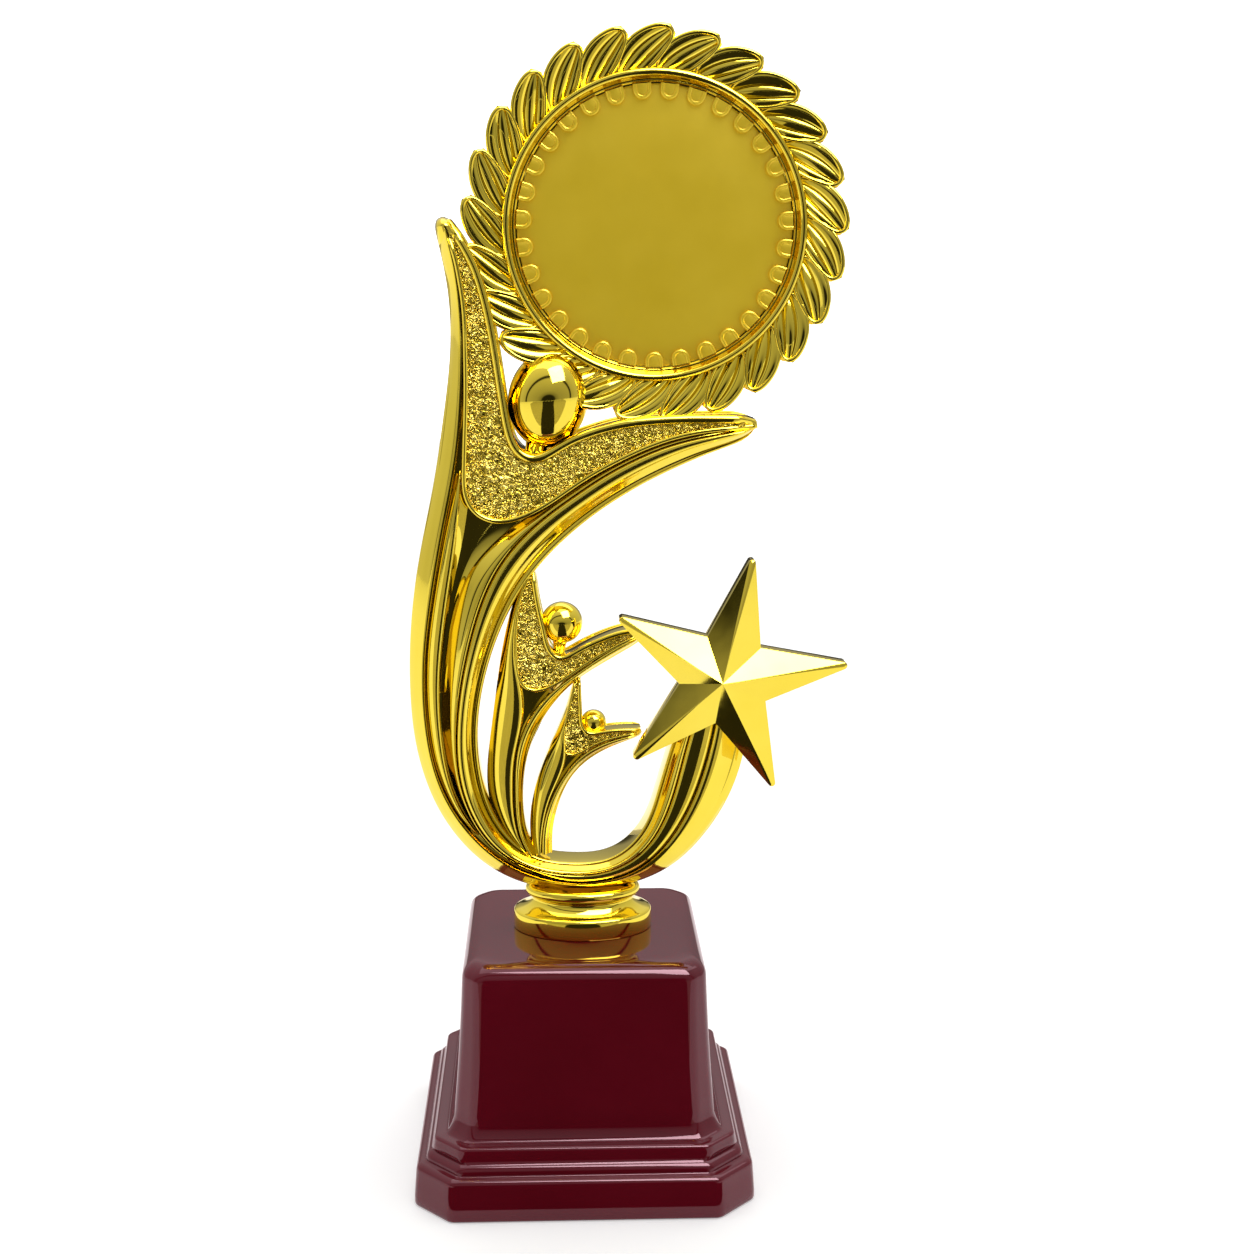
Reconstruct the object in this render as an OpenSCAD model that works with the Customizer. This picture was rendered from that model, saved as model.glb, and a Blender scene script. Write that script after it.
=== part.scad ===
// Star trophy: a gilt topper of three stylised figures with raised arms, a laurel medallion
// and a faceted star, screwed onto a square stepped plinth.
// Origin: centre of the underside of the plinth. +Z is up and the front faces -Y.

/* [Plinth] */
// Width of the plinth across its flats
base_w = 87; // [84:0.5:92]
// Height of the plinth up to the face that carries the collar
base_h = 62; // [60:0.5:64]
// Wall thickness of the plinth moulding
base_wall = 2.4; // [2:0.1:3]
// Width of the upper block where it meets the collar
block_top_w = 62.2; // [58:0.2:64]

/* [Topper] */
// Depth of one half of the large figure, from the seam to its front face
figure_depth = 8; // [7.5:0.1:9]
// Depth of one half of the middle figure
middle_depth = 6; // [5:0.1:6.5]
// Depth of one half of the small figure
small_depth = 4.5; // [4:0.1:5.5]
// Depth of the grooves between the ribs
groove_depth = 1.4; // [0.8:0.1:1.6]

/* [Medallion] */
// Diameter of the satin disc
disc_d = 70; // [68:0.5:71]
// Radius at the tips of the laurel leaves
leaf_tip_r = 48; // [46:0.5:48]
// Number of laurel leaves
leaf_count = 25; // [20:1:28]
// Number of small embossed loops round the disc
loop_count = 31; // [24:1:36]

/* [Star] */
// Radius of the star at its points
star_r = 31.3; // [28:0.1:32]
// Height of the star's apex above its rim
star_peak = 8.5; // [6:0.5:11]
// Depth of the star's side wall
star_skirt = 5; // [4:0.5:6]
// Turn of the star, clockwise
star_turn = 12; // [0:1:20]

/* [Fastening] */
// Diameter of the stud that holds the topper on the plinth
stud_d = 8; // [6:1:8]
// Radial clearance of the stud in the plinth
stud_clearance = 0.05; // [0.02:0.01:0.1]

/* [Hidden] */
gold = [0.83, 0.69, 0.2];
satin = [0.78, 0.65, 0.18];
steel = [0.7, 0.7, 0.72];
maroon = [0.35, 0.05, 0.09];

// Plinth levels and half widths
plinth_h = 11;
cove_h = 12.5;
step_h = 17.5;
plinth_half = base_w / 2;
step_half = plinth_half - 4.7;
block_foot_half = plinth_half - 10;
block_top_half = block_top_w / 2;
corner_cut = 9.5;
plate_t = 2;
screw_r = 1.4;
screw_place = plinth_half - 11.5;

// Collar with round ends: half depths of flange, neck and crown, and the shift of its two ends
collar_r = 12.6;
neck_r = 7.9;
crown_r = 9.5;
collar_shift = 5.7;
collar_top = base_h + 12;
stud_r = stud_d / 2;

// Medallion
disc_r = disc_d / 2;
rim_r = disc_r + 2.4;
medal_x = 18;
medal_z = 244;
wreath_t = 3.5;
leaf_w = 6.6;
leaf_sweep = 16;

// Star
star_x = 36.1;
star_z = 132.2;
star_inner_r = star_r * 0.382;
star_back_y = figure_depth;
apex_shift = 1.3;

// Heads: centre x, centre z
egg_at = [-8.8, 201.9];
egg_r = 9.6;
egg_h = 22.5;
egg_lean = 10;
middle_head_at = [-5.3, 144.4];
middle_head_r = 5.4;
small_head_at = [2.9, 117.8];
small_head_r = 3.3;
head_gap = 0.1;

// Edges of the large figure, as [x, z] points for smooth curves
outer_edge = [
    [-35.5, 245], [-34, 238], [-32.5, 229], [-32.4, 219], [-33, 210], [-35, 195.5],
    [-37.2, 182], [-41, 165], [-43, 153], [-44.1, 139], [-44.5, 130], [-43.8, 117],
    [-42.2, 107.5], [-39, 98], [-35.5, 90.8], [-28, 82], [-21.5, 77.5], [-15, 74.4],
    [-6, 72.8], [5, 73], [16.4, 75.4], [25.4, 80.6], [32.8, 88.6], [38, 97], [41.3, 106],
    [43, 115], [43, 124], [41, 131], [37, 135]
];
inner_u_edge = [
    [33, 133], [28.4, 126], [24.6, 117], [22.2, 109], [20.4, 102], [18.2, 95], [15.8, 90.2],
    [12.6, 85.9], [8.8, 82.8], [4, 81.2], [-2, 80.6], [-8, 81.2], [-15.6, 84.6], [-20.2, 90], [-23.8, 97]
];
body_edge = [
    [-25.9, 103.4], [-27.2, 114.7], [-26.2, 126], [-22.4, 140.6], [-18, 153], [-10, 162.4],
    [-1, 170.8], [8.7, 177.6], [18.3, 182.8], [31, 188.4], [43.6, 192.8]
];
shoulder_edge = [
    [44.8, 194.4], [43.6, 195.9], [37.3, 197.7], [27.7, 198], [18, 197.5], [8, 196.4],
    [1.6, 194.6], [-4.8, 192], [-8.6, 189.4], [-12.4, 188.2]
];
neck_edge = [
    [-13.7, 188.6], [-17.2, 192.6], [-18.4, 199], [-19.6, 207], [-21.5, 218], [-23.6, 229.6],
    [-27, 237.6], [-30.4, 242.8], [-33.6, 246]
];

// Grooves between the ribs
groove_1 = [
    [-32.4, 181], [-36.3, 162], [-39.9, 139], [-40.5, 126], [-38.7, 109.6], [-33.4, 96.4],
    [-23, 84], [-5.4, 76.2], [8, 76.8], [21.4, 85.7], [30.3, 103.4], [33.4, 114], [35, 124]
];
groove_2 = [
    [-25, 165], [-29, 159], [-33.4, 142.5], [-36.6, 119], [-34.8, 102], [-27.4, 88]
];
groove_3 = [
    [-4.4, 176], [-13, 169], [-23.7, 153.4], [-29.2, 137], [-31.9, 113.3], [-29.4, 98],
    [-23, 85.6], [-10.7, 78.6], [5.2, 78.2], [15.6, 82.4], [21.2, 89], [25, 99], [27, 109],
    [29, 118], [31.6, 126]
];

// Stippled chest of the large figure
chest_large = [
    [-31.4, 238], [-28.6, 224], [-28.2, 207], [-28.6, 190], [-28.6, 178], [-25.5, 173.8],
    [-20, 172.4], [-12, 174.6], [-1, 181.8], [9, 187], [19, 192], [28, 194.6], [39, 195.4]
];
chest_large_inner = [
    [38.6, 196.4], [28, 196.7], [18, 196.2], [8, 195.1], [2, 193.4], [-4.4, 190.7],
    [-8.4, 188], [-12.6, 186.8], [-15, 187.8], [-18.6, 192.4], [-20, 202], [-22, 215],
    [-24.6, 228.6], [-28, 236.4]
];

// Middle figure
middle_left = [
    [-12.6, 162], [-15.2, 157], [-17, 152], [-18.8, 147.6], [-20.4, 140.6], [-22.4, 126], [-24.2, 114.6],
    [-25, 106], [-24.6, 100], [-22, 94], [-18, 85]
];
middle_right = [
    [-13, 80], [-14.8, 88], [-15.5, 95], [-15.5, 103.6], [-14.2, 111], [-9.7, 120], [-4.3, 126.8],
    [6, 135], [13.5, 138.6], [17, 141.5]
];
middle_top = [
    [15.5, 143], [9.6, 143.3], [4.2, 142.2], [-1.4, 140], [-4.8, 136.4], [-7.6, 137],
    [-9.4, 140.7], [-10.9, 147], [-12, 152], [-12, 157], [-10.6, 162]
];
chest_middle = [
    [-14.4, 156], [-16.4, 149], [-16.8, 138], [-16.2, 130.6], [-13.5, 128.6], [-6, 130.8],
    [1, 135.6], [9, 140]
];
chest_middle_inner = [
    [8.6, 141.6], [3, 140.4], [-2, 138.4], [-4.6, 135.2], [-8.4, 135.8], [-10.4, 140.4],
    [-11.8, 147], [-13.4, 156]
];

// Small figure
small_left = [
    [-1.8, 133], [-2.6, 129], [-3.6, 125], [-5.1, 120], [-9.3, 110], [-12.4, 101.7], [-13.8, 92],
    [-13.6, 80]
];
small_right = [
    [-8.4, 80], [-8.2, 86], [-7.4, 92.4], [-5.4, 99], [-1.3, 106], [6, 111], [12, 113.8]
];
small_top = [
    [15, 116.4], [6, 116.2], [1.6, 115.5], [0.2, 120], [-0.2, 125], [-0.2, 129], [0, 133]
];
chest_small = [
    [-2.2, 127], [-3.6, 121], [-6.2, 114], [-5.6, 110.8], [-3, 109.8], [1, 112], [7, 114.6]
];
chest_small_inner = [
    [6.8, 115.4], [2, 114.6], [0.2, 114.8], [-0.9, 119.6], [-1.3, 127]
];

// Hollows inside the large figure, as [x, z, width]
body_hollow = [
    [-30, 232, 3], [-26.5, 215, 7], [-26, 200, 9], [-28.5, 183, 12], [-31, 165, 15],
    [-33.4, 145, 15], [-35.6, 125, 12], [-34, 108, 9], [-28.6, 93.5, 7], [-17.6, 80.7, 5.5],
    [-4, 76.9, 4.6], [8, 77.5, 4.6], [18.4, 82.6, 6], [27.8, 94, 9], [32.4, 106, 12], [34.8, 118, 9]
];
arm_hollow = [[-22, 178, 9], [-8, 182, 10], [8, 188, 9], [22, 191.6, 5], [34, 193.8, 3]];
middle_hollow = [[-16.4, 145, 2], [-17, 133, 5], [-18.6, 116, 4.5], [-20, 102, 4]];
hollow_depth = 5;

// A point of a Catmull-Rom curve between b and c
function between(a, b, c, d, t) =
    (2 * b + (c - a) * t + (2 * a - 5 * b + 4 * c - d) * t * t
     + (3 * b - a - 3 * c + d) * t * t * t) / 2;

// A smooth curve through the points p, with n steps from each point to the next
function smooth(p, n = 4) = concat(
    [for (i = [0 : len(p) - 2], k = [0 : n - 1])
        between(p[max(i - 1, 0)], p[i], p[i + 1], p[min(i + 2, len(p) - 1)], k / n)],
    [p[len(p) - 1]]
);

function reversed(p) = [for (i = [len(p) - 1 : -1 : 0]) p[i]];

// Left or right side of a smooth band along p, whose points are [x, z, width]
function band_side(c, side) = [
    for (i = [0 : len(c) - 1])
        let (d = c[min(i + 1, len(c) - 1)] - c[max(i - 1, 0)])
            [c[i][0], c[i][1]] + side * c[i][2] / 2 * [-d[1], d[0]] / norm([d[0], d[1]])
];

module band(p) {
    c = smooth(p);
    polygon(concat(band_side(c, 1), reversed(band_side(c, -1))));
}

// A groove of one width along the points p
module groove(p, w) {
    band([for (q = p) [q[0], q[1], w]]);
}

// Extrudes an x-z outline towards the front, from depth a to depth b before the seam
module slab(a, b) {
    translate([0, -a, 0]) rotate([90, 0, 0]) linear_extrude(b - a) children();
}

// The other half: the same shape behind the seam
module rear() {
    mirror([0, 1, 0]) children();
}

// Outlines
module large_outline() {
    polygon(concat(
        smooth(outer_edge), smooth(inner_u_edge), smooth(body_edge),
        smooth(shoulder_edge), smooth(neck_edge)
    ));
}

module middle_shape() {
    polygon(concat(smooth(middle_left), smooth(middle_right), smooth(middle_top)));
}

module middle_outline() {
    difference() {
        middle_shape();
        large_outline();
    }
}

module small_outline() {
    difference() {
        polygon(concat(smooth(small_left), smooth(small_right), smooth(small_top)));
        large_outline();
        middle_shape();
    }
}

module chest(left, right) {
    polygon(concat(smooth(left), smooth(right)));
}

// One half of a figure: a recess for its stippled panel and a hollow behind
module figure_half(depth) {
    difference() {
        slab(0, depth) large_outline();
        slab(depth - groove_depth, depth + 1) groove(groove_1, 1.6);
        slab(depth - groove_depth, depth + 1) groove(groove_2, 1.4);
        slab(depth - groove_depth, depth + 1) groove(groove_3, 1.6);
        slab(depth - 1, depth + 1) chest(chest_large, chest_large_inner);
        slab(-1, hollow_depth) band(body_hollow);
        slab(-1, hollow_depth) band(arm_hollow);
    }
}

module middle_half() {
    difference() {
        slab(0, middle_depth) middle_outline();
        slab(middle_depth - 0.8, middle_depth + 1) chest(chest_middle, chest_middle_inner);
        slab(-1, middle_depth - 2) band(middle_hollow);
        ball(middle_head_at, middle_head_r + head_gap);
    }
}

module small_half() {
    difference() {
        slab(0, small_depth) small_outline();
        slab(small_depth - 0.6, small_depth + 1) chest(chest_small, chest_small_inner);
        ball(small_head_at, small_head_r + head_gap);
    }
}

// Plinth: a square with cut corners
module cut_square(half, cut) {
    polygon([
        [half, cut - half], [half, half - cut], [half - cut, half], [cut - half, half],
        [-half, half - cut], [-half, cut - half], [cut - half, -half], [half - cut, -half]
    ]);
}

// A block that tapers from one cut square to another
module taper(z0, half0, cut0, z1, half1, cut1) {
    skin = 0.01;
    hull() {
        translate([0, 0, z0]) linear_extrude(skin) cut_square(half0, cut0);
        translate([0, 0, z1 - skin]) linear_extrude(skin) cut_square(half1, cut1);
    }
}

module screw_places() {
    for (sx = [-1, 1], sy = [-1, 1]) {
        translate([sx * screw_place, sy * screw_place, 0]) children();
    }
}

module base_shell() {
    color(maroon) difference() {
        union() {
            difference() {
                union() {
                    taper(0, plinth_half, corner_cut, plinth_h, plinth_half - 0.7, corner_cut - 0.1);
                    linear_extrude(cove_h) cut_square(step_half + 1.6, corner_cut - 0.8);
                    linear_extrude(step_h) cut_square(step_half, corner_cut - 2.2);
                    taper(step_h - 1, block_foot_half, 5.2, base_h, block_top_half, 4);
                }
                translate([0, 0, -1])
                    linear_extrude(plinth_h - base_wall + 1)
                        cut_square(plinth_half - base_wall, corner_cut - 1);
                translate([0, 0, plinth_h - base_wall - 1])
                    linear_extrude(step_h - plinth_h + 1)
                        cut_square(step_half - base_wall, corner_cut - 3);
                taper(step_h - base_wall - 1, block_foot_half - base_wall, 4.4,
                    base_h - base_wall, block_top_half - base_wall, 3.2);
            }
            screw_places() translate([0, 0, plate_t]) cylinder(h = step_h - plate_t - 2, r = 3.2, $fn = 48);
        }
        screw_places() translate([0, 0, -1]) cylinder(h = 13, r = screw_r, $fn = 48);
        translate([0, 0, base_h - base_wall - 2])
            cylinder(h = base_wall + 4, r = stud_r + stud_clearance, $fn = 96);
    }
}

module base_bottom_plate() {
    color("dimgray") difference() {
        linear_extrude(plate_t) cut_square(plinth_half - base_wall - 0.3, corner_cut - 1);
        screw_places() {
            translate([0, 0, -1]) cylinder(h = plate_t + 2, r = screw_r, $fn = 48);
            translate([0, 0, -1]) cylinder(h = 2.2, r = 2.9, $fn = 48);
        }
    }
}

module base_screws() {
    color(steel) screw_places() {
        translate([0, 0, 0.2]) cylinder(h = 1, r = 2.8, $fn = 48);
        translate([0, 0, 0.2]) cylinder(h = 11, r = screw_r, $fn = 48);
    }
}

module base_weight() {
    color("gray") translate([0, 0, plate_t])
        linear_extrude(12) cut_square(plinth_half - 15.5, 8);
}

// Half profile of the collar, as [half depth, height above the plinth]
collar_profile = [
    [0, 0], [collar_r - 0.4, 0], [collar_r, 0.6], [collar_r, 4.6], [collar_r - 0.5, 5.2],
    [collar_r - 2.6, 5.6], [neck_r + 0.6, 6.4], [neck_r + 0.5, 7.2], [neck_r - 0.4, 7.6],
    [neck_r - 0.4, 8.8], [crown_r - 0.6, 9.6], [crown_r, 10.4], [crown_r, 11.4],
    [crown_r - 0.6, collar_top - base_h], [0, collar_top - base_h]
];

// Two turned ends joined by a straight middle
module collar_body() {
    for (side = [-1, 1])
        translate([side * collar_shift, 0, base_h])
            rotate_extrude($fn = 96) polygon(collar_profile);
    translate([-collar_shift, 0, base_h]) rotate([90, 0, 90]) linear_extrude(2 * collar_shift) {
        polygon(collar_profile);
        mirror([1, 0]) polygon(collar_profile);
    }
}

// Collar between the plinth and the topper
module collar() {
    color(gold) difference() {
        collar_body();
        slab(-figure_depth, figure_depth) large_outline();
        translate([0, 0, base_h - 1]) cylinder(h = 9, r = stud_r, $fn = 96);
        translate([0, 0, base_h + 1]) cylinder(h = 5, r = 7.2, $fn = 6);
    }
}

module collar_nut() {
    color(steel) translate([0, 0, base_h + 1]) difference() {
        cylinder(h = 5, r = 7.2, $fn = 6);
        translate([0, 0, -1]) cylinder(h = 7, r = stud_r, $fn = 96);
    }
}

module threaded_stud() {
    color(steel) translate([0, 0, base_h - 14]) cylinder(h = 22, r = stud_r, $fn = 96);
}

module stud_washer() {
    color(steel) translate([0, 0, base_h - base_wall - 1.6]) difference() {
        cylinder(h = 1.6, r = 9, $fn = 96);
        translate([0, 0, -1]) cylinder(h = 4, r = stud_r, $fn = 96);
    }
}

module stud_nut() {
    color(steel) translate([0, 0, base_h - base_wall - 8]) difference() {
        cylinder(h = 6.4, r = 7.2, $fn = 6);
        translate([0, 0, -1]) cylinder(h = 9, r = stud_r, $fn = 96);
    }
}

// Large figure
module figure_front_shell() {
    color(gold) difference() {
        figure_half(figure_depth);
        star_peg_bores();
        head_peg_shapes();
    }
}

module figure_back_shell() {
    color(gold) difference() {
        rear() figure_half(figure_depth);
        head_peg_shapes();
    }
}

module large_panel() {
    slab(figure_depth - 1, figure_depth - 0.4) chest(chest_large, chest_large_inner);
}

module large_chest_panel_front() {
    color(satin) large_panel();
}

module large_chest_panel_back() {
    color(satin) rear() large_panel();
}

// Middle figure
module middle_figure_front() {
    color(gold) difference() {
        middle_half();
        head_peg_shapes();
    }
}

module middle_figure_back() {
    color(gold) difference() {
        rear() middle_half();
        head_peg_shapes();
    }
}

module middle_panel() {
    slab(middle_depth - 0.8, middle_depth - 0.3) chest(chest_middle, chest_middle_inner);
}

module middle_chest_panel_front() {
    color(satin) middle_panel();
}

module middle_chest_panel_back() {
    color(satin) rear() middle_panel();
}

// Small figure
module small_figure_front() {
    color(gold) difference() {
        small_half();
        head_peg_shapes();
    }
}

module small_figure_back() {
    color(gold) difference() {
        rear() small_half();
        head_peg_shapes();
    }
}

module small_panel() {
    slab(small_depth - 0.6, small_depth - 0.2) chest(chest_small, chest_small_inner);
}

module small_chest_panel_front() {
    color(satin) small_panel();
}

module small_chest_panel_back() {
    color(satin) rear() small_panel();
}

// Profile of the egg-shaped head, narrower below
function egg_profile(grow) = concat(
    [[0, -egg_h / 2 - grow]],
    [for (a = [-80 : 10 : 80])
        [(egg_r + grow) * cos(a) * (1 + 0.08 * sin(a)), (egg_h / 2 + grow) * sin(a)]],
    [[0, egg_h / 2 + grow]]
);

// The head leans to the right
module egg() {
    translate([egg_at[0], 0, egg_at[1]])
        rotate([0, egg_lean, 0])
            rotate_extrude($fn = 96)
                polygon(egg_profile(0));
}

// Side view of the head with a little room round it
module egg_room() {
    side = egg_profile(0.3);
    translate(egg_at) rotate(-egg_lean) polygon(concat(side, reversed([for (p = side) [-p[0], p[1]]])));
}

module head_large() {
    color(gold) difference() {
        egg();
        head_peg_shapes();
    }
}

module ball(at, r) {
    translate([at[0], 0, at[1]]) sphere(r = r, $fn = 64);
}

module head_middle() {
    color(gold) difference() {
        ball(middle_head_at, middle_head_r);
        head_peg_shapes();
    }
}

module head_small() {
    color(gold) difference() {
        ball(small_head_at, small_head_r);
        head_peg_shapes();
    }
}

// A peg from one point to another in the seam plane
module peg(a, b, r) {
    d = b - a;
    translate([a[0], 0, a[1]]) rotate([0, atan2(d[0], d[1]), 0]) cylinder(h = norm(d), r = r, $fn = 48);
}

module head_peg_shapes() {
    peg([-14.6, 183], [-10.4, 196], 1.6);
    peg([-6.6, 133], [-5.4, 142], 1.1);
    peg([-0.6, 113], [2.2, 117], 0.8);
}

module head_pegs() {
    color(gold) head_peg_shapes();
}

// Spine of laurel leaf number k: from its root on the rim, t = 0, to its tip, t = 1
function leaf_spine(k, t) =
    let (tip_a = 5 + 360 / leaf_count * k,
         r = rim_r + (leaf_tip_r - rim_r) * t,
         a = tip_a - leaf_sweep * (1 - t) * (1 + 0.15 * t))
    [r * sin(a), r * cos(a)];

function leaf_edge(k, t, side) =
    let (d = leaf_spine(k, t + 0.05) - leaf_spine(k, t - 0.05),
         w = leaf_w / 2 * pow(sin(180 * t), 0.8))
    leaf_spine(k, t) + side * w * [-d[1], d[0]] / norm(d);

module leaf(k) {
    polygon(concat(
        [leaf_spine(k, 0)],
        [for (t = [0.1 : 0.1 : 0.95]) leaf_edge(k, t, 1)],
        [leaf_spine(k, 1)],
        [for (t = [0.9 : -0.1 : 0.05]) leaf_edge(k, t, -1)]
    ));
}

module at_medal() {
    translate([medal_x, medal_z]) children();
}

// One half of the laurel wreath: leaves, raised rim and the web behind the disc
module wreath_half() {
    difference() {
        union() {
            slab(0, wreath_t - 0.8) at_medal() union() {
                circle(r = rim_r + 2, $fn = 128);
                for (k = [0 : leaf_count - 1]) leaf(k);
            }
            slab(0, wreath_t + 0.7) at_medal() circle(r = rim_r, $fn = 128);
        }
        slab(1.2, wreath_t + 2) at_medal() circle(r = disc_r, $fn = 128);
        slab(-1, figure_depth) large_outline();
        slab(-1, wreath_t + 2) egg_room();
    }
}

module wreath_front() {
    color(gold) wreath_half();
}

module wreath_back() {
    color(gold) rear() wreath_half();
}

// Satin disc with small loops embossed round its edge
module medal_disc() {
    slab(1.2, wreath_t - 0.6) at_medal() circle(r = disc_r - 0.05, $fn = 128);
    slab(wreath_t - 0.6, wreath_t - 0.1) at_medal() intersection() {
        circle(r = disc_r - 0.1, $fn = 128);
        union() {
            for (k = [0 : loop_count - 1]) {
                rotate(k * 360 / loop_count) translate([0, disc_r - 1.8]) difference() {
                    circle(r = 2.1, $fn = 32);
                    circle(r = 1.2, $fn = 32);
                }
            }
        }
    }
}

module medallion_disc_front() {
    color(satin) medal_disc();
}

module medallion_disc_back() {
    color(satin) rear() medal_disc();
}

// Star outline: points at radius r_out, inner corners at r_in
function star_points(r_out, r_in) = [
    for (i = [0 : 9])
        let (a = star_turn + 36 * i, r = i % 2 == 0 ? r_out : r_in)
            [star_x + r * sin(a), star_z + r * cos(a)]
];

// A star with a straight wall from depth a to depth b and a faceted peak beyond it
module star_solid(r_out, r_in, a, b, peak) {
    rim = star_points(r_out, r_in);
    points = concat(
        [for (p = rim) [p[0], -a, p[1]]],
        [for (p = rim) [p[0], -b, p[1]]],
        [[star_x, -a, star_z], [star_x - apex_shift, -b - peak, star_z]]
    );
    faces = concat(
        [for (i = [0 : 9]) [20, (i + 1) % 10, i]],
        [for (i = [0 : 9]) [(i + 1) % 10, 10 + (i + 1) % 10, 10 + i, i]],
        [for (i = [0 : 9]) [10 + (i + 1) % 10, 21, 10 + i]]
    );
    polyhedron(points = points, faces = faces);
}

module star_front() {
    color(gold) difference() {
        star_solid(star_r, star_inner_r, star_back_y, star_back_y + star_skirt, star_peak);
        star_solid(star_r - 4.5, star_inner_r - 1.4, star_back_y - 1, star_back_y + star_skirt - 1,
            star_peak - 1);
    }
}

module star_back() {
    color(gold) difference() {
        slab(star_back_y, star_back_y + 1.6)
            polygon(star_points(star_r - 4.7, star_inner_r - 1.5));
        star_peg_bores();
    }
}

module star_peg_bores() {
    for (p = [[33, 124], [38, 129]]) {
        translate([p[0], -star_back_y - 1.6, p[1]]) rotate([-90, 0, 0]) cylinder(h = 4.2, r = 1.5, $fn = 48);
    }
}

module star_pegs() {
    color(gold) star_peg_bores();
}

base_shell();
base_bottom_plate();
base_screws();
base_weight();
collar();
collar_nut();
threaded_stud();
stud_washer();
stud_nut();
figure_front_shell();
figure_back_shell();
large_chest_panel_front();
large_chest_panel_back();
middle_figure_front();
middle_figure_back();
middle_chest_panel_front();
middle_chest_panel_back();
small_figure_front();
small_figure_back();
small_chest_panel_front();
small_chest_panel_back();
head_large();
head_middle();
head_small();
head_pegs();
wreath_front();
wreath_back();
medallion_disc_front();
medallion_disc_back();
star_front();
star_back();
star_pegs();
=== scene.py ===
"""Looks of the star trophy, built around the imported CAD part."""
import math

import bmesh
import bpy
import numpy as np
from mathutils import Matrix, Vector, noise


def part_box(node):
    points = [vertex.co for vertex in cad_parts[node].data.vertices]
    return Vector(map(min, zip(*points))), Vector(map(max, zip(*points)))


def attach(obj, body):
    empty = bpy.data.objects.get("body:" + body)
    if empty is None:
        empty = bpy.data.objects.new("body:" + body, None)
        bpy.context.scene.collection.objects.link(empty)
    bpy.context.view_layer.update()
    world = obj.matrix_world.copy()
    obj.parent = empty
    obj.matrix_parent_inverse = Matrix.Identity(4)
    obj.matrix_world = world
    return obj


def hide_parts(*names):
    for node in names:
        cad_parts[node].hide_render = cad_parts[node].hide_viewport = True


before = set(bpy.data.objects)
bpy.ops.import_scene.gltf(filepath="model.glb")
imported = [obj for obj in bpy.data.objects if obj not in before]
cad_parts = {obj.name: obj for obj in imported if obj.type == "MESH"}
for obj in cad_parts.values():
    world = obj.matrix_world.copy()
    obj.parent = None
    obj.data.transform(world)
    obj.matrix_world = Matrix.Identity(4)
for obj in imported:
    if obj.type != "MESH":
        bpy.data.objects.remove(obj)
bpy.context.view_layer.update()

MM = 0.001
THIN_END = 0.12
PANEL_THICK = 1.2
SCENE = bpy.context.scene
SCENE.view_settings.view_transform = "Standard"


# ---- curves

def natural_spline(points, count):
    """Natural cubic curve through the points, as count points evenly spaced along it."""
    p = np.array(points, float)
    if len(p) == 2:
        t = np.linspace(0, 1, count)[:, None]
        return p[0] * (1 - t) + p[1] * t
    h = np.linalg.norm(np.diff(p, axis=0), axis=1)
    u = np.concatenate([[0], np.cumsum(h)])
    n = len(p)
    a = np.zeros((n, n))
    b = np.zeros_like(p)
    a[0, 0] = a[-1, -1] = 1
    for i in range(1, n - 1):
        a[i, i - 1:i + 2] = h[i - 1], 2 * (h[i - 1] + h[i]), h[i]
        b[i] = 6 * ((p[i + 1] - p[i]) / h[i] - (p[i] - p[i - 1]) / h[i - 1])
    m = np.linalg.solve(a, b)
    fine = np.linspace(0, u[-1], max(400, 6 * count))
    k = np.clip(np.searchsorted(u, fine, side="right") - 1, 0, n - 2)
    hk, left, right = h[k][:, None], (fine - u[k])[:, None], (u[k + 1] - fine)[:, None]
    c = (m[k] * right**3 + m[k + 1] * left**3) / (6 * hk)
    c += (p[k] / hk - m[k] * hk / 6) * right + (p[k + 1] / hk - m[k + 1] * hk / 6) * left
    return resample(c, count)


def resample(c, count):
    s = np.concatenate([[0], np.cumsum(np.linalg.norm(np.diff(c, axis=0), axis=1))])
    at = np.linspace(0, s[-1], count)
    return np.stack([np.interp(at, s, c[:, j]) for j in range(c.shape[1])], axis=1)


def fair(c, passes):
    """Smooths a sampled curve, with its ends kept."""
    for _ in range(passes):
        c[1:-1] = 0.5 * c[1:-1] + 0.25 * (c[:-2] + c[2:])
    return c


def curve(points, count, passes=30):
    return fair(natural_spline(points, count), passes)


def ease(t):
    t = np.clip(t, 0, 1)
    return t * t * (3 - 2 * t)


# ---- meshes

def mesh_object(name, vertices, faces, material=None, crease_deg=None):
    """A mesh object from points in millimetres."""
    mesh = bpy.data.meshes.new(name)
    mesh.from_pydata([tuple(v) for v in np.asarray(vertices, float) * MM], [], faces)
    mesh.validate()
    bm = bmesh.new()
    bm.from_mesh(mesh)
    bmesh.ops.remove_doubles(bm, verts=bm.verts, dist=1e-7)
    bmesh.ops.recalc_face_normals(bm, faces=bm.faces)
    if crease_deg is not None:
        limit = math.radians(crease_deg)
        for e in bm.edges:
            if len(e.link_faces) == 2 and e.calc_face_angle(0) > limit:
                e.smooth = False
    for f in bm.faces:
        f.smooth = True
    bm.to_mesh(mesh)
    bm.free()
    obj = bpy.data.objects.new(name, mesh)
    SCENE.collection.objects.link(obj)
    if material is not None:
        mesh.materials.append(material)
    return obj


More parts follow.
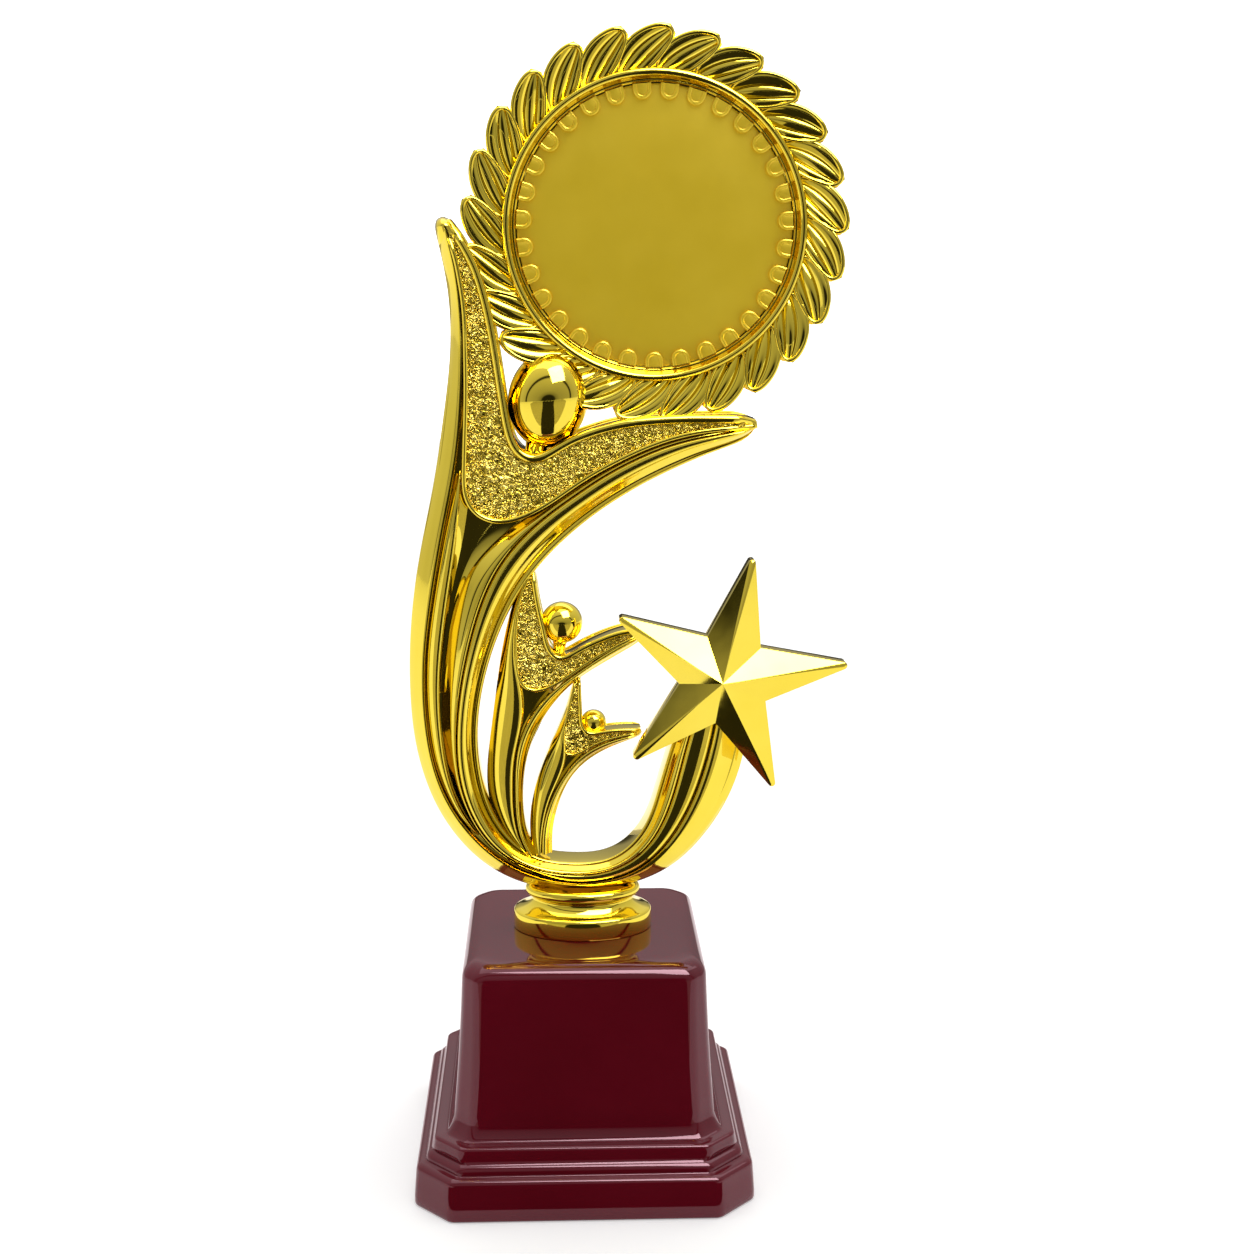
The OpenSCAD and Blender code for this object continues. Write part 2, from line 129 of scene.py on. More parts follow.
def grid_faces(rows, cols, start=0, wrap_cols=False, wrap_rows=False):
    """Quads of a rows x cols grid of points."""
    out = []
    for i in range(rows if wrap_rows else rows - 1):
        for j in range(cols if wrap_cols else cols - 1):
            i2, j2 = (i + 1) % rows, (j + 1) % cols
            out.append([start + i * cols + j, start + i * cols + j2,
                        start + i2 * cols + j2, start + i2 * cols + j])
    return out


def tube_shell(sections):
    """Closed shell from a stack of closed sections, shape (rows, cols, 3), capped at both ends."""
    rows, cols = sections.shape[:2]
    faces = grid_faces(rows, cols, wrap_cols=True)
    faces.append(list(range(cols))[::-1])
    faces.append([(rows - 1) * cols + j for j in range(cols)])
    return sections.reshape(-1, 3), faces


def join_shells(shells):
    vertices, faces, start = [], [], 0
    for v, f in shells:
        vertices.append(v)
        faces.extend([[i + start for i in face] for face in f])
        start += len(v)
    return np.concatenate(vertices), faces


def mirrored(shell):
    """The same shell behind the seam plane."""
    v, f = shell
    return v * np.array([1, -1, 1]), [face[::-1] for face in f]


# ---- ribs of the figures

def section_table(points, width, across):
    """A smooth cross-section through (share, depth) points, evenly spaced along its own length."""
    p = np.array(points, float)
    c = natural_spline(np.column_stack([p[:, 0] * width, p[:, 1]]), across)
    share = np.clip(c[:, 0] / width, 0, 1)
    share[0], share[-1] = 0, 1
    return share, c[:, 1]


def end_rise(middle, rise):
    """Depth factor along a rib that lets it thin out over rise[0] and rise[1] mm at its ends."""
    run = np.concatenate([[0], np.cumsum(np.linalg.norm(np.diff(middle, axis=0), axis=1))])
    scale = np.ones(len(middle))
    for length, distance in ((rise[0], run), (rise[1], run[-1] - run)):
        if length:
            t = 1 - np.clip(distance / length, 0, 1)
            scale *= THIN_END + (1 - THIN_END) * np.sqrt(np.clip(1 - t * t, 0, 1))
    return scale


def rib(left, right, section, later=None, change=(0.4, 0.6), width=5.0, count=240, across=22,
        rise=(0, 0), passes=30, inset=0.0):
    """Closed shell of one rib between two curves in the x-z plane, flat on the seam.

    section gives (share of the width, depth) points; when later is given the section changes to it
    between the two shares of the length in change. inset moves both edges inwards."""
    a, b = curve(left, count, passes), curve(right, count, passes)
    inwards = (b - a) / np.maximum(np.linalg.norm(b - a, axis=1), 1e-6)[:, None]
    a, b = a + inset * inwards, b - inset * inwards
    share, depth = section_table(section, width, across)
    shares, depths = np.tile(share, (count, 1)), np.tile(depth, (count, 1))
    if later is not None:
        share2, depth2 = section_table(later, width, across)
        mix = ease((np.linspace(0, 1, count) - change[0]) / (change[1] - change[0]))[:, None]
        shares = shares * (1 - mix) + share2 * mix
        depths = depths * (1 - mix) + depth2 * mix
    scale = end_rise(0.5 * (a + b), rise)
    sections = np.zeros((count, across + 2, 3))
    for j in range(across):
        p = a + (b - a) * shares[:, j:j + 1]
        sections[:, j + 1] = at_depth(p, depths[:, j] * scale)
    sections[:, 0] = at_depth(a, 0.0)
    sections[:, -1] = at_depth(b, 0.0)
    return tube_shell(sections)


def cord_shell(path, radius, sides=12, closed=False):
    """Round bead along a 3-D path; radius is a number or one value a point."""
    path = np.asarray(path, float)
    n = len(path)
    radius = np.broadcast_to(radius, (n,))
    if closed:
        tangent = np.roll(path, -1, axis=0) - np.roll(path, 1, axis=0)
    else:
        tangent = np.gradient(path, axis=0)
    tangent /= np.linalg.norm(tangent, axis=1)[:, None]
    out = np.array([0.0, -1.0, 0.0])
    side = np.cross(tangent, out)
    side /= np.linalg.norm(side, axis=1)[:, None]
    up = np.cross(side, tangent)
    a = np.linspace(0, 2 * math.pi, sides, endpoint=False)
    ring = path[:, None, :] + radius[:, None, None] * (
        np.cos(a)[None, :, None] * side[:, None, :] + np.sin(a)[None, :, None] * up[:, None, :])
    if closed:
        return ring.reshape(-1, 3), grid_faces(n, sides, wrap_cols=True, wrap_rows=True)
    return tube_shell(ring)


def at_depth(points, depth):
    """Points of the x-z plane moved to a depth in front of the seam."""
    p = np.asarray(points, float)
    return np.stack([p[:, 0], -np.broadcast_to(depth, (len(p),)), p[:, 1]], axis=1)


def crinkle(x, z, scale):
    """Height of the crinkle stipple, 0 to 1: narrow raised worms on a rough ground."""
    p = Vector((x / scale, 0.0, z / scale))
    warp_x = noise.noise(p * 0.9 + Vector((0.0, 3.7, 0.0)))
    warp_z = noise.noise(p * 0.9 + Vector((17.3, 8.1, 5.9)))
    q = p + Vector((0.9 * warp_x, 0.0, 0.9 * warp_z))
    worm = 1 - min(1.0, abs(noise.noise(q)) * 4.2)
    fine = 1 - min(1.0, abs(noise.noise(q * 1.9 + Vector((9.1, 0, 4.3)))) * 4.5)
    return max(worm, 0.75 * fine)


def stipple_shell(left, right, inset, depth, relief, scale, count, across):
    """Closed shell of a stippled panel between two curves, set in from them by inset[0], inset[1]."""
    a, b = curve(left, count), curve(right, count)
    width = np.linalg.norm(b - a, axis=1)
    keep = width > inset[0] + inset[1] + 0.5
    a, b, width = a[keep], b[keep], width[keep, None]
    u = (b - a) / width
    a, b = a + u * inset[0], b - u * inset[1]
    count = len(a)
    s = np.linspace(0, 1, across)
    grid = a[:, None, :] + (b - a)[:, None, :] * s[None, :, None]
    sections = np.zeros((count, across + 2, 3))
    for i in range(count):
        for j in range(across):
            x, z = grid[i, j]
            border = min(1.0, 8 * min(s[j], 1 - s[j]))
            sections[i, j + 1] = x, -(depth + relief * border * crinkle(x, z, scale)), z
    sections[:, 0] = at_depth(a, depth - PANEL_THICK)
    sections[:, -1] = at_depth(b, depth - PANEL_THICK)
    return tube_shell(sections)


# ---- large figure

OUTER_EDGE = [
    (-34.4, 246.3), (-35.5, 245.6), (-35.9, 244.0), (-35.2, 239.5), (-33.5, 231.5), (-32.6, 222),
    (-33.0, 210.5), (-34.8, 197),
    (-37.3, 181.5), (-40.4, 167), (-42.9, 153), (-44.2, 139.5), (-44.4, 127), (-43.6, 115.5),
    (-41.4, 105), (-37.8, 95.6), (-32.8, 87.6), (-26.8, 81.2), (-19.8, 76.6), (-11.8, 73.8),
    (-3, 72.9), (6, 73.1), (15.6, 75.3), (24.2, 79.8), (31, 86.6), (36.8, 95.2), (40.8, 104.8),
    (42.8, 115), (43, 124), (41.2, 131), (37.6, 135)]
BAND_INNER = [
    (-33.4, 246.1), (-33.6, 244.6), (-33.4, 243.0), (-32.3, 240), (-31.2, 236), (-30.3, 230),
    (-29.7, 222), (-29.6, 209),
    (-30.2, 196), (-31.4, 186.5), (-33.6, 175.5), (-36.3, 162), (-38.4, 150), (-39.9, 139),
    (-40.4, 127), (-39.8, 117), (-38.2, 107.6), (-35.2, 99.2), (-31, 92.2), (-25.6, 86),
    (-19, 81), (-11.6, 77.6), (-3.2, 76), (5.4, 76.4), (12.8, 78.6), (19.2, 83.2),
    (24.8, 90.4), (29.2, 99.4), (32.2, 108.8), (34.4, 119), (35.6, 128), (36.6, 134.6)]
RIB_B_LEFT = BAND_INNER[9:19] + [(-26.4, 86.8)]
RIB_B_RIGHT = [
    (-30.2, 187), (-30.9, 175), (-32.2, 164), (-34.2, 151.5), (-35.9, 139), (-36.7, 127),
    (-36.3, 116), (-35, 106.3), (-32.6, 98.3), (-29.3, 92), (-26, 87.2)]
VALLEY_LEFT = [(-29.8, 186), (-31, 174.6), (-32.2, 163.5), (-34.2, 151.8), (-35.9, 139), (-36.7, 127)]
VALLEY_RIGHT = [(-12, 175), (-19.5, 168.6), (-23.8, 164.6), (-28.6, 158.6), (-31.9, 150.4), (-36.1, 127)]
RIB_C_LEFT = [
    (44, 195.5), (35.6, 194.9), (26.4, 193.6), (17.4, 190.9), (8.6, 186.9), (0, 182.1), (-8.2, 176.6),
    (-14.5, 172.4), (-19.5, 168.6), (-23.8, 164.6), (-28.6, 158.6), (-31.9, 150.4), (-34.4, 140),
    (-36.1, 127), (-36.1, 116), (-34.9, 106.2), (-32.5, 98.2), (-29.2, 91.9), (-24.8, 85.8),
    (-18.7, 81.2), (-11.5, 77.9), (-3.2, 76.3), (5.3, 76.7), (12.6, 78.9), (19, 83.5), (24.5, 90.6),
    (28.9, 99.5), (31.9, 108.9), (34.1, 119), (35.3, 128), (36.2, 134.4)]
RIB_C_RIGHT = [
    (43.9, 195.1), (38.2, 194.3), (31.2, 193.1), (22.4, 191), (13.6, 187.5), (4.2, 182.4), (-1.4, 178.6),
    (-7.6, 174.2), (-14.2, 168.6), (-20.6, 161), (-25.2, 152), (-28.4, 142), (-31.4, 128),
    (-32.6, 115.5), (-32.1, 105.4), (-30.1, 97.4), (-26.8, 90.6), (-22.6, 85.4), (-17, 81.6),
    (-10.4, 79.3), (-3, 78.3), (4.6, 78.7), (10.8, 80.9), (16.2, 85), (20.8, 92.2),
    (23.9, 101), (26.2, 110.4), (28.8, 120.4), (31.4, 129), (33.4, 134)]
RIB_D_RIGHT = [
    (44, 195.2), (43.4, 193.6), (42, 192.3), (39.6, 191.2), (36, 189.9), (32.5, 188.6), (28.9, 187.2),
    (25.4, 185.6), (21.8, 184), (18.2, 182.2), (14.7, 180.4), (11.2, 178.3), (7.6, 176.1), (4, 173.6),
    (0.5, 171), (-3, 168), (-6.7, 164.6), (-11.5, 159.3), (-15.9, 153.2), (-20.2, 145.2),
    (-23.6, 136.2), (-26.2, 125.6), (-27.2, 114.5), (-26.4, 105), (-24.6, 97.6), (-21.4, 91),
    (-17.4, 86), (-13, 82.8), (-8, 81.3), (-2, 80.8), (4, 81), (8.6, 82.5), (12.6, 85.6), (16.4, 91),
    (19.1, 99), (21.6, 108), (24.4, 117), (28, 126), (31.6, 133)]
HAND_LEFT = [(-34.9, 243), (-34.2, 239), (-33.2, 231.5), (-32.3, 222), (-32.7, 210.5), (-34.5, 197),
             (-36.8, 181.5)]
HAND_RIGHT = [(-32, 243), (-30.6, 239), (-29, 231.5), (-28, 222), (-28, 210.5), (-28, 197), (-28, 181)]
TIP_LEFT = [(-34.3, 246.3), (-35.4, 245.7), (-35.9, 244.2), (-35.6, 241.5), (-34.9, 238)]
TIP_RIGHT = [(-33.9, 246.3), (-32.6, 245.7), (-31.3, 244.4), (-29.9, 242), (-28.1, 238.6)]
ARM_TOP = [(43, 195), (35.6, 195), (26.4, 194), (17.4, 191.4), (8.6, 187.4), (0, 182.8), (-8.2, 177)]
ARM_FOOT = [(43, 193.6), (36, 190.1), (28.9, 187.4), (21.8, 184.2), (14.7, 180.6), (4, 173.8), (-3, 168.2)]

# Border bead of the large chest: up the outside from hand to hand, and back along the neck
CHEST_OUTSIDE = [
    (-33.5, 244.6), (-32.9, 242), (-31.7, 239), (-30.2, 232.6), (-29.1, 225), (-28.8, 215), (-28.8, 204),
    (-29.2, 193), (-29.6, 183), (-28.9, 176.4), (-25.8, 172.8), (-20.8, 171.5), (-14.6, 173),
    (-8.2, 176.4), (0, 182), (8.6, 186.8), (17.4, 190.8), (26.4, 193.5), (35.6, 194.8),
    (43.2, 195.2)]
CHEST_INSIDE = [
    (-32.9, 245.1), (-31.6, 243.6), (-30.2, 241.1), (-27.4, 236.2), (-25, 229.8), (-22.7, 220), (-21, 209.6),
    (-19.7, 200.6), (-18.4, 193.6), (-16.2, 188.9), (-12.6, 187.1), (-8.4, 188.4), (-4.2, 191),
    (1.8, 193.6), (9.4, 195.7), (18.4, 196.8), (28, 197.2), (36, 197.2), (42, 196.6), (43.4, 196)]

# Cross-sections as (share of the width, depth)
OUTER_SECTION = [(0, 3.0), (0.3, 4.9), (0.6, 6.35), (0.8, 7.1), (0.9, 7.2), (1, 5.8)]
B_SECTION = [(0, 5.6), (0.12, 6.1), (0.4, 6.9), (0.65, 7.3), (0.9, 7.3), (1, 5.6)]
VALLEY_SECTION = [(0, 5.4), (0.3, 4.3), (0.7, 4.2), (1, 4.8)]
C_SECTION = [(0, 4.3), (0.2, 5.1), (0.5, 6.3), (0.78, 7.2), (0.92, 7.3), (1, 6.2)]
C_FLAT_SECTION = [(0, 5.7), (0.08, 6.9), (0.3, 7.3), (0.75, 7.35), (0.92, 7.1), (1, 6.1)]
D_SECTION = [(0, 6.0), (0.05, 7.0), (0.12, 7.45), (0.32, 7.55), (0.42, 7.2), (0.6, 6.1), (0.78, 4.9),
             (0.83, 4.6), (0.88, 4.9), (0.95, 4.8), (1, 4.0)]
TIP_SECTION = [(0, 3.6), (0.12, 5.6), (0.35, 6.9), (0.6, 7.1), (0.85, 6.2), (1, 4.2)]
SLAB_SECTION = [(0, 3.4), (0.03, 4.0), (0.5, 4.1), (0.97, 4.0), (1, 3.4)]


def bead_loop(outside, inside, depth, outer_radius, inner_radius, count, rise):
    """Border bead around a chest, thinner along its outside than along the neck side."""
    a, b = curve(outside, count), curve(inside, count)
    loop = np.concatenate([a, b[::-1][1:-1]])
    run = np.linspace(0, 1, count)
    lift = ease(run / rise) * ease((1 - run) / rise)
    blend = 0.5 * (outer_radius + inner_radius)
    first = blend + (outer_radius - blend) * lift
    second = (blend + (inner_radius - blend) * lift)[::-1][1:-1]
    radii = np.concatenate([first, second])
    tops = np.concatenate([lift, lift[::-1][1:-1]])
    return cord_shell(at_depth(loop, depth * (0.72 + 0.28 * tops) - radii), radii, sides=16, closed=True)


def block_shell(outside, inside, depth, grow, count=200, edge=1.1, rise=0.06):
    """Smooth closed block between two curves, with rounded front edges."""
    a, b = curve(outside, count), curve(inside, count)
    d = b - a
    width = np.linalg.norm(d, axis=1)[:, None]
    u = d / np.maximum(width, 1e-6)
    a, b = a - u * grow[0], b + u * grow[1]
    width = np.linalg.norm(b - a, axis=1)
    steps = np.linspace(0, math.pi / 2, 6)
    run = np.linspace(0, 1, count)
    lift = 0.7 + 0.3 * ease(run / rise) * ease((1 - run) / rise)
    r = np.minimum(edge, width / 2.5)
    cols = [(np.zeros(count), np.zeros(count))]
    for t in steps:
        cols.append((r * (1 - math.cos(t)), depth * lift - r * (1 - math.sin(t))))
    for t in steps[::-1]:
        cols.append((width - r * (1 - math.cos(t)), depth * lift - r * (1 - math.sin(t))))
    cols.append((width, np.zeros(count)))
    sections = np.zeros((count, len(cols), 3))
    for j, (s, y) in enumerate(cols):
        sections[:, j] = at_depth(a + u * s[:, None], y)
    return tube_shell(sections)


def large_figure_shells():
    """Front half of the large figure."""
    return [
        rib(OUTER_EDGE[8:], RIB_D_RIGHT[15:], SLAB_SECTION, width=20, count=200, rise=(0, 10), inset=0.25),
        rib(ARM_TOP, ARM_FOOT, SLAB_SECTION, width=8, count=120, rise=(10, 0)),
        rib(HAND_LEFT, HAND_RIGHT, SLAB_SECTION, width=5, count=120, rise=(6, 0)),
        rib(TIP_LEFT, TIP_RIGHT, TIP_SECTION, width=6, count=50, rise=(2.5, 5), passes=4),
        rib(OUTER_EDGE, BAND_INNER, OUTER_SECTION, width=4, count=360, rise=(3, 10)),
        rib(RIB_B_LEFT, RIB_B_RIGHT, B_SECTION, width=3.6, count=200, rise=(20, 12)),
        rib(VALLEY_LEFT, VALLEY_RIGHT, VALLEY_SECTION, width=8, count=120),
        rib(RIB_C_LEFT, RIB_C_RIGHT, C_SECTION, C_FLAT_SECTION, (0.62, 0.72), width=5, count=360,
            rise=(14, 10)),
        rib(RIB_C_RIGHT, RIB_D_RIGHT, D_SECTION, width=7, count=360, across=30, rise=(6, 10)),
        block_shell(CHEST_OUTSIDE, CHEST_INSIDE, 6.6, (0.3, 0.95), edge=1.3),
        bead_loop(CHEST_OUTSIDE, CHEST_INSIDE, 7.6, 0.62, 1.15, 280, 0.05),
    ]


# ---- middle and small figures

MIDDLE_RIB_LEFT = [
    (-12.6, 160), (-15.4, 155.6), (-17.6, 150.4), (-19.4, 144), (-21, 136), (-22.6, 125),
    (-24, 114.6), (-24.9, 105.4), (-24.4, 98), (-22.4, 91.6), (-18.8, 86), (-13.6, 82)]
MIDDLE_RIB_RIGHT = [
    (-12.2, 159), (-14.6, 154), (-16.4, 148.6), (-17.2, 142), (-17, 134.6), (-15.4, 127),
    (-15.6, 118), (-17.4, 110), (-18, 101), (-17.8, 94), (-16.6, 88), (-14, 82.4)]
MIDDLE_BAND_LEFT = [
    (15.6, 142.2), (9.8, 139.4), (4.2, 136), (-2, 131.6), (-7.6, 127.4), (-12.4, 122),
    (-15.8, 115.6), (-17.3, 108.6), (-17.6, 101), (-17.4, 94), (-16.4, 88), (-14, 82.6)]
MIDDLE_BAND_RIGHT = [
    (15.6, 140.2), (10.2, 137), (4.8, 133.8), (-0.8, 130.2), (-5.4, 126), (-9.8, 120.2),
    (-13, 113.8), (-14.9, 107), (-15.6, 100), (-15.4, 93.6), (-14.4, 88), (-12, 83)]
MIDDLE_CHEST_OUTSIDE = [
    (-13.2, 158.4), (-15.2, 154), (-16.6, 148), (-17.1, 141), (-17, 134), (-16.2, 129.6),
    (-13.6, 127.4), (-9.6, 127.8), (-4.6, 130.6), (1, 134.6), (6.4, 137.8), (11, 140.2),
    (15.4, 142)]
MIDDLE_CHEST_INSIDE = [
    (-12.7, 158.4), (-12, 153), (-11, 147.4), (-9.8, 142), (-8.6, 137.8), (-6, 135.6),
    (-2.6, 136.9), (1.6, 139.2), (6.2, 141.2), (11, 142.6), (15.4, 143)]

MIDDLE_BODY_RIGHT = [
    (-13.4, 158), (-14, 152), (-14, 146), (-12.4, 140), (-9.8, 134), (-8.6, 127.2), (-9.8, 120.2),
    (-13, 113.8), (-14.9, 107), (-15.6, 100), (-15.4, 93.6), (-14.4, 88), (-12, 83)]

SMALL_RIB_LEFT = [
    (-1.4, 131.4), (-2.8, 127.6), (-4, 123), (-6, 117.6), (-8.8, 111), (-11.6, 103.6),
    (-13.4, 96), (-13.8, 89), (-13, 82.6)]
SMALL_RIB_RIGHT = [
    (-1, 130.6), (-2.3, 126), (-3.4, 121), (-4.6, 115.6), (-4.2, 110.6), (-5.4, 105),
    (-8.2, 98.6), (-10.2, 91), (-11, 83)]
SMALL_BAND_LEFT = [
    (15.4, 115.6), (10, 114.4), (4.6, 112.6), (0.4, 110.2), (-3, 106.8), (-6.2, 102),
    (-8.8, 96.4), (-10.4, 90), (-10.8, 83)]
SMALL_BAND_RIGHT = [
    (15.4, 114.6), (10.4, 112.8), (5.4, 110.6), (1.6, 108.2), (-1.8, 105), (-4.8, 100.2),
    (-6.8, 94.6), (-7.9, 89), (-8, 83)]
SMALL_BODY_RIGHT = [
    (-1.2, 130), (-1.9, 125.6), (-2.2, 121), (-1.4, 115.6), (0.6, 111), (-2.2, 106.3), (-5.6, 101),
    (-7.6, 94.6), (-8.8, 89), (-9, 83)]
SMALL_CHEST_OUTSIDE = [
    (-1.6, 130), (-2.8, 125.6), (-4, 120.6), (-5.4, 115.2), (-5.6, 111.6), (-4, 109.8),
    (-1.2, 110.2), (2.2, 112.2), (6, 113.8), (10.4, 114.9), (15, 115.7)]
SMALL_CHEST_INSIDE = [
    (-0.9, 130), (-0.8, 125.6), (-0.6, 121), (-0.2, 117.4), (1.2, 115.6), (4, 115.6),
    (8, 116.2), (11.6, 116.4), (15, 116.3)]


MIDDLE_SLAB_SECTION = [(0, 2.2), (0.5, 2.8), (1, 2.2)]
SMALL_SLAB_SECTION = [(0, 1.8), (0.5, 2.2), (1, 1.8)]
MIDDLE_RIB_SECTION = [(0, 2.6), (0.2, 3.8), (0.45, 4.8), (0.62, 5.1), (0.9, 5.1), (1, 4.0)]
MIDDLE_BAND_SECTION = [(0, 4.2), (0.08, 5.1), (0.3, 5.25), (0.5, 4.7), (0.8, 3.4), (0.88, 3.2), (1, 2.5)]
SMALL_RIB_SECTION = [(0, 2.0), (0.2, 2.9), (0.45, 3.7), (0.65, 4.0), (0.9, 4.0), (1, 3.1)]
SMALL_BAND_SECTION = [(0, 3.2), (0.08, 4.0), (0.3, 4.1), (0.5, 3.6), (0.8, 2.5), (0.88, 2.4), (1, 1.9)]


def middle_figure_shells():
    return [
        rib(MIDDLE_RIB_LEFT, MIDDLE_BODY_RIGHT, MIDDLE_SLAB_SECTION, width=8, count=120, across=8),
        rib(MIDDLE_RIB_LEFT, MIDDLE_RIB_RIGHT, MIDDLE_RIB_SECTION, width=4.5, count=180, across=20,
            rise=(5, 0)),
        rib(MIDDLE_BAND_LEFT, MIDDLE_BAND_RIGHT, MIDDLE_BAND_SECTION, width=3, count=180, across=22,
            rise=(5, 0)),
        block_shell(MIDDLE_CHEST_OUTSIDE, MIDDLE_CHEST_INSIDE, 4.3, (0.3, 0.6), count=140, edge=0.9),
        bead_loop(MIDDLE_CHEST_OUTSIDE, MIDDLE_CHEST_INSIDE, 5.1, 0.4, 0.7, 160, 0.06),
    ]


def small_figure_shells():
    return [
        rib(SMALL_RIB_LEFT, SMALL_BODY_RIGHT, SMALL_SLAB_SECTION, width=6, count=100, across=8),
        rib(SMALL_RIB_LEFT, SMALL_RIB_RIGHT, SMALL_RIB_SECTION, width=3.4, count=140, across=18,
            rise=(4, 0)),
        rib(SMALL_BAND_LEFT, SMALL_BAND_RIGHT, SMALL_BAND_SECTION, width=2.6, count=140, across=20,
            rise=(4, 0)),
        block_shell(SMALL_CHEST_OUTSIDE, SMALL_CHEST_INSIDE, 3.3, (0.2, 0.4), count=100, edge=0.7),
        bead_loop(SMALL_CHEST_OUTSIDE, SMALL_CHEST_INSIDE, 4.0, 0.3, 0.5, 120, 0.06),
    ]


# ---- materials

def principled(name, **values):
    """A material with its Principled shader; values go straight on its sockets."""
    material = bpy.data.materials.new(name)
    material.use_nodes = True
    shader = material.node_tree.nodes["Principled BSDF"]
    for key, value in values.items():
        shader.inputs[key.replace("_", " ")].default_value = value
    return material, material.node_tree, shader


def add_node(tree, kind, **values):
    """A new node with its constants on its sockets."""
    node = tree.nodes.new(kind)
    for key, value in values.items():
        node.inputs[key.replace("_", " ")].default_value = value
    return node


def noise_node(tree, scale, detail):
    coords = tree.nodes.new("ShaderNodeTexCoord")
    node = add_node(tree, "ShaderNodeTexNoise", Scale=scale, Detail=detail)
    tree.links.new(coords.outputs["Object"], node.inputs["Vector"])
    return node


def ramp_node(tree, source, stops):
    ramp = tree.nodes.new("ShaderNodeValToRGB")
    elements = ramp.color_ramp.elements
    for i, (at, colour) in enumerate(stops):
        if i < 2:
            elements[i].position = at
        else:
            elements.new(at)
        elements[i].color = (*colour, 1)
    tree.links.new(source, ramp.inputs["Fac"])
    return ramp


def add_bump(tree, shader, height, strength, distance):
    bump = add_node(tree, "ShaderNodeBump", Strength=strength, Distance=distance)
    tree.links.new(height, bump.inputs["Height"])
    tree.links.new(bump.outputs["Normal"], shader.inputs["Normal"])


def cloudy_colour(tree, shader, scale, detail, low, high):
    """Base colour that drifts between low and high."""
    cloud = noise_node(tree, scale, detail)
    colour = ramp_node(tree, cloud.outputs["Fac"], [(0.3, low), (0.7, high)])
    tree.links.new(colour.outputs["Color"], shader.inputs["Base Color"])


def patchy_gloss(tree, shader, scale, low, high):
    """Roughness that drifts between low and high."""
    patch = noise_node(tree, scale, 4)
    gloss = add_node(tree, "ShaderNodeMapRange", From_Min=0.3, From_Max=0.7, To_Min=low, To_Max=high)
    tree.links.new(patch.outputs["Fac"], gloss.inputs["Value"])
    tree.links.new(gloss.outputs["Result"], shader.inputs["Roughness"])


def gilt(name, low, high, gloss, wave, grain=90, metallic=1.0):
    """Gold metallised plastic: colour cloud, patchy gloss and a faint moulding waviness."""
    material, tree, shader = principled(name, Metallic=metallic)
    cloudy_colour(tree, shader, 45, 3, low, high)
    patchy_gloss(tree, shader, 160, *gloss)
    ripple = noise_node(tree, grain, 2)
    add_bump(tree, shader, ripple.outputs["Fac"], wave, 0.0004)
    return material


def stippled_gilt(name, low, high, gloss):
    """Gold with a fine crinkle: bright raised lines, and painted shade that darkens the colour between them.
    """
    material, tree, shader = principled(name, Metallic=1.0)
    patchy_gloss(tree, shader, 160, *gloss)
    curl = noise_node(tree, CRINKLE_SCALE, 1.0)
    curl.inputs["Distortion"].default_value = CRINKLE_CURL
    middle = tree.nodes.new("ShaderNodeMath")
    middle.operation = "SUBTRACT"
    middle.inputs[1].default_value = 0.5
    tree.links.new(curl.outputs["Fac"], middle.inputs[0])
    distance = tree.nodes.new("ShaderNodeMath")
    distance.operation = "ABSOLUTE"
    tree.links.new(middle.outputs[0], distance.inputs[0])
    line = add_node(tree, "ShaderNodeMapRange", From_Max=CRINKLE_LINE, To_Min=1.0, To_Max=0.0)
    tree.links.new(distance.outputs[0], line.inputs["Value"])
    add_bump(tree, shader, line.outputs["Result"], 0.8, 0.0003)
    # painted shade: the base colour goes darker in the creases between the raised lines
    colour = ramp_node(tree, line.outputs["Result"], [(0.15, low), (0.75, high)])
    tree.links.new(colour.outputs["Color"], shader.inputs["Base Color"])
    return material


def plastic(name, low, high, roughness, wave, coat=0.0, sheen_tint=(1, 1, 1)):
    """Moulded plastic with a slightly uneven colour and a faint flow ripple."""
    material, tree, shader = principled(name, Coat_Weight=coat, Coat_Roughness=0.03, IOR=1.5)
    shader.inputs["Specular Tint"].default_value = (*sheen_tint, 1)
    shader.inputs["Coat Tint"].default_value = (*sheen_tint, 1)
    cloudy_colour(tree, shader, 30, 4, low, high)
    patchy_gloss(tree, shader, 600, roughness * 0.9, roughness * 1.1)
    ripple = noise_node(tree, 55, 2)
    add_bump(tree, shader, ripple.outputs["Fac"], wave, 0.0005)
    return material


CRINKLE_SCALE = 720
CRINKLE_LINE = 0.10
CRINKLE_CURL = 1.2
GILT = gilt("gilt_bright", (0.86, 0.655, 0.06), (0.91, 0.71, 0.085), (0.035, 0.075), 0.035)
SATIN = gilt("gilt_satin", (0.80, 0.56, 0.015), (0.84, 0.60, 0.025), (0.28, 0.33), 0.03, 1500, 0.35)
# its first colour is painted shade for the creases between the crinkle lines
STIPPLED = stippled_gilt("gilt_stippled", (0.50, 0.37, 0.035), (0.95, 0.76, 0.17), (0.14, 0.22))
MAROON = plastic("plinth_plastic", (0.088, 0.0018, 0.0068), (0.104, 0.0026, 0.0090), 0.05, 0.03,
                 coat=0.25, sheen_tint=(1.0, 0.60, 0.70))
BLACK = plastic("plate_plastic", (0.015, 0.015, 0.016), (0.03, 0.03, 0.032), 0.5, 0.1)


def steel_material():
    material, tree, shader = principled("zinc_steel", Metallic=1.0, Roughness=0.35)
    cloudy_colour(tree, shader, 400, 5, (0.42, 0.43, 0.46), (0.62, 0.63, 0.66))
    return material


STEEL = steel_material()


# ---- pieces

def add_piece(obj, body, nodes):
    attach(obj, body)
    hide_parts(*nodes)
    return obj


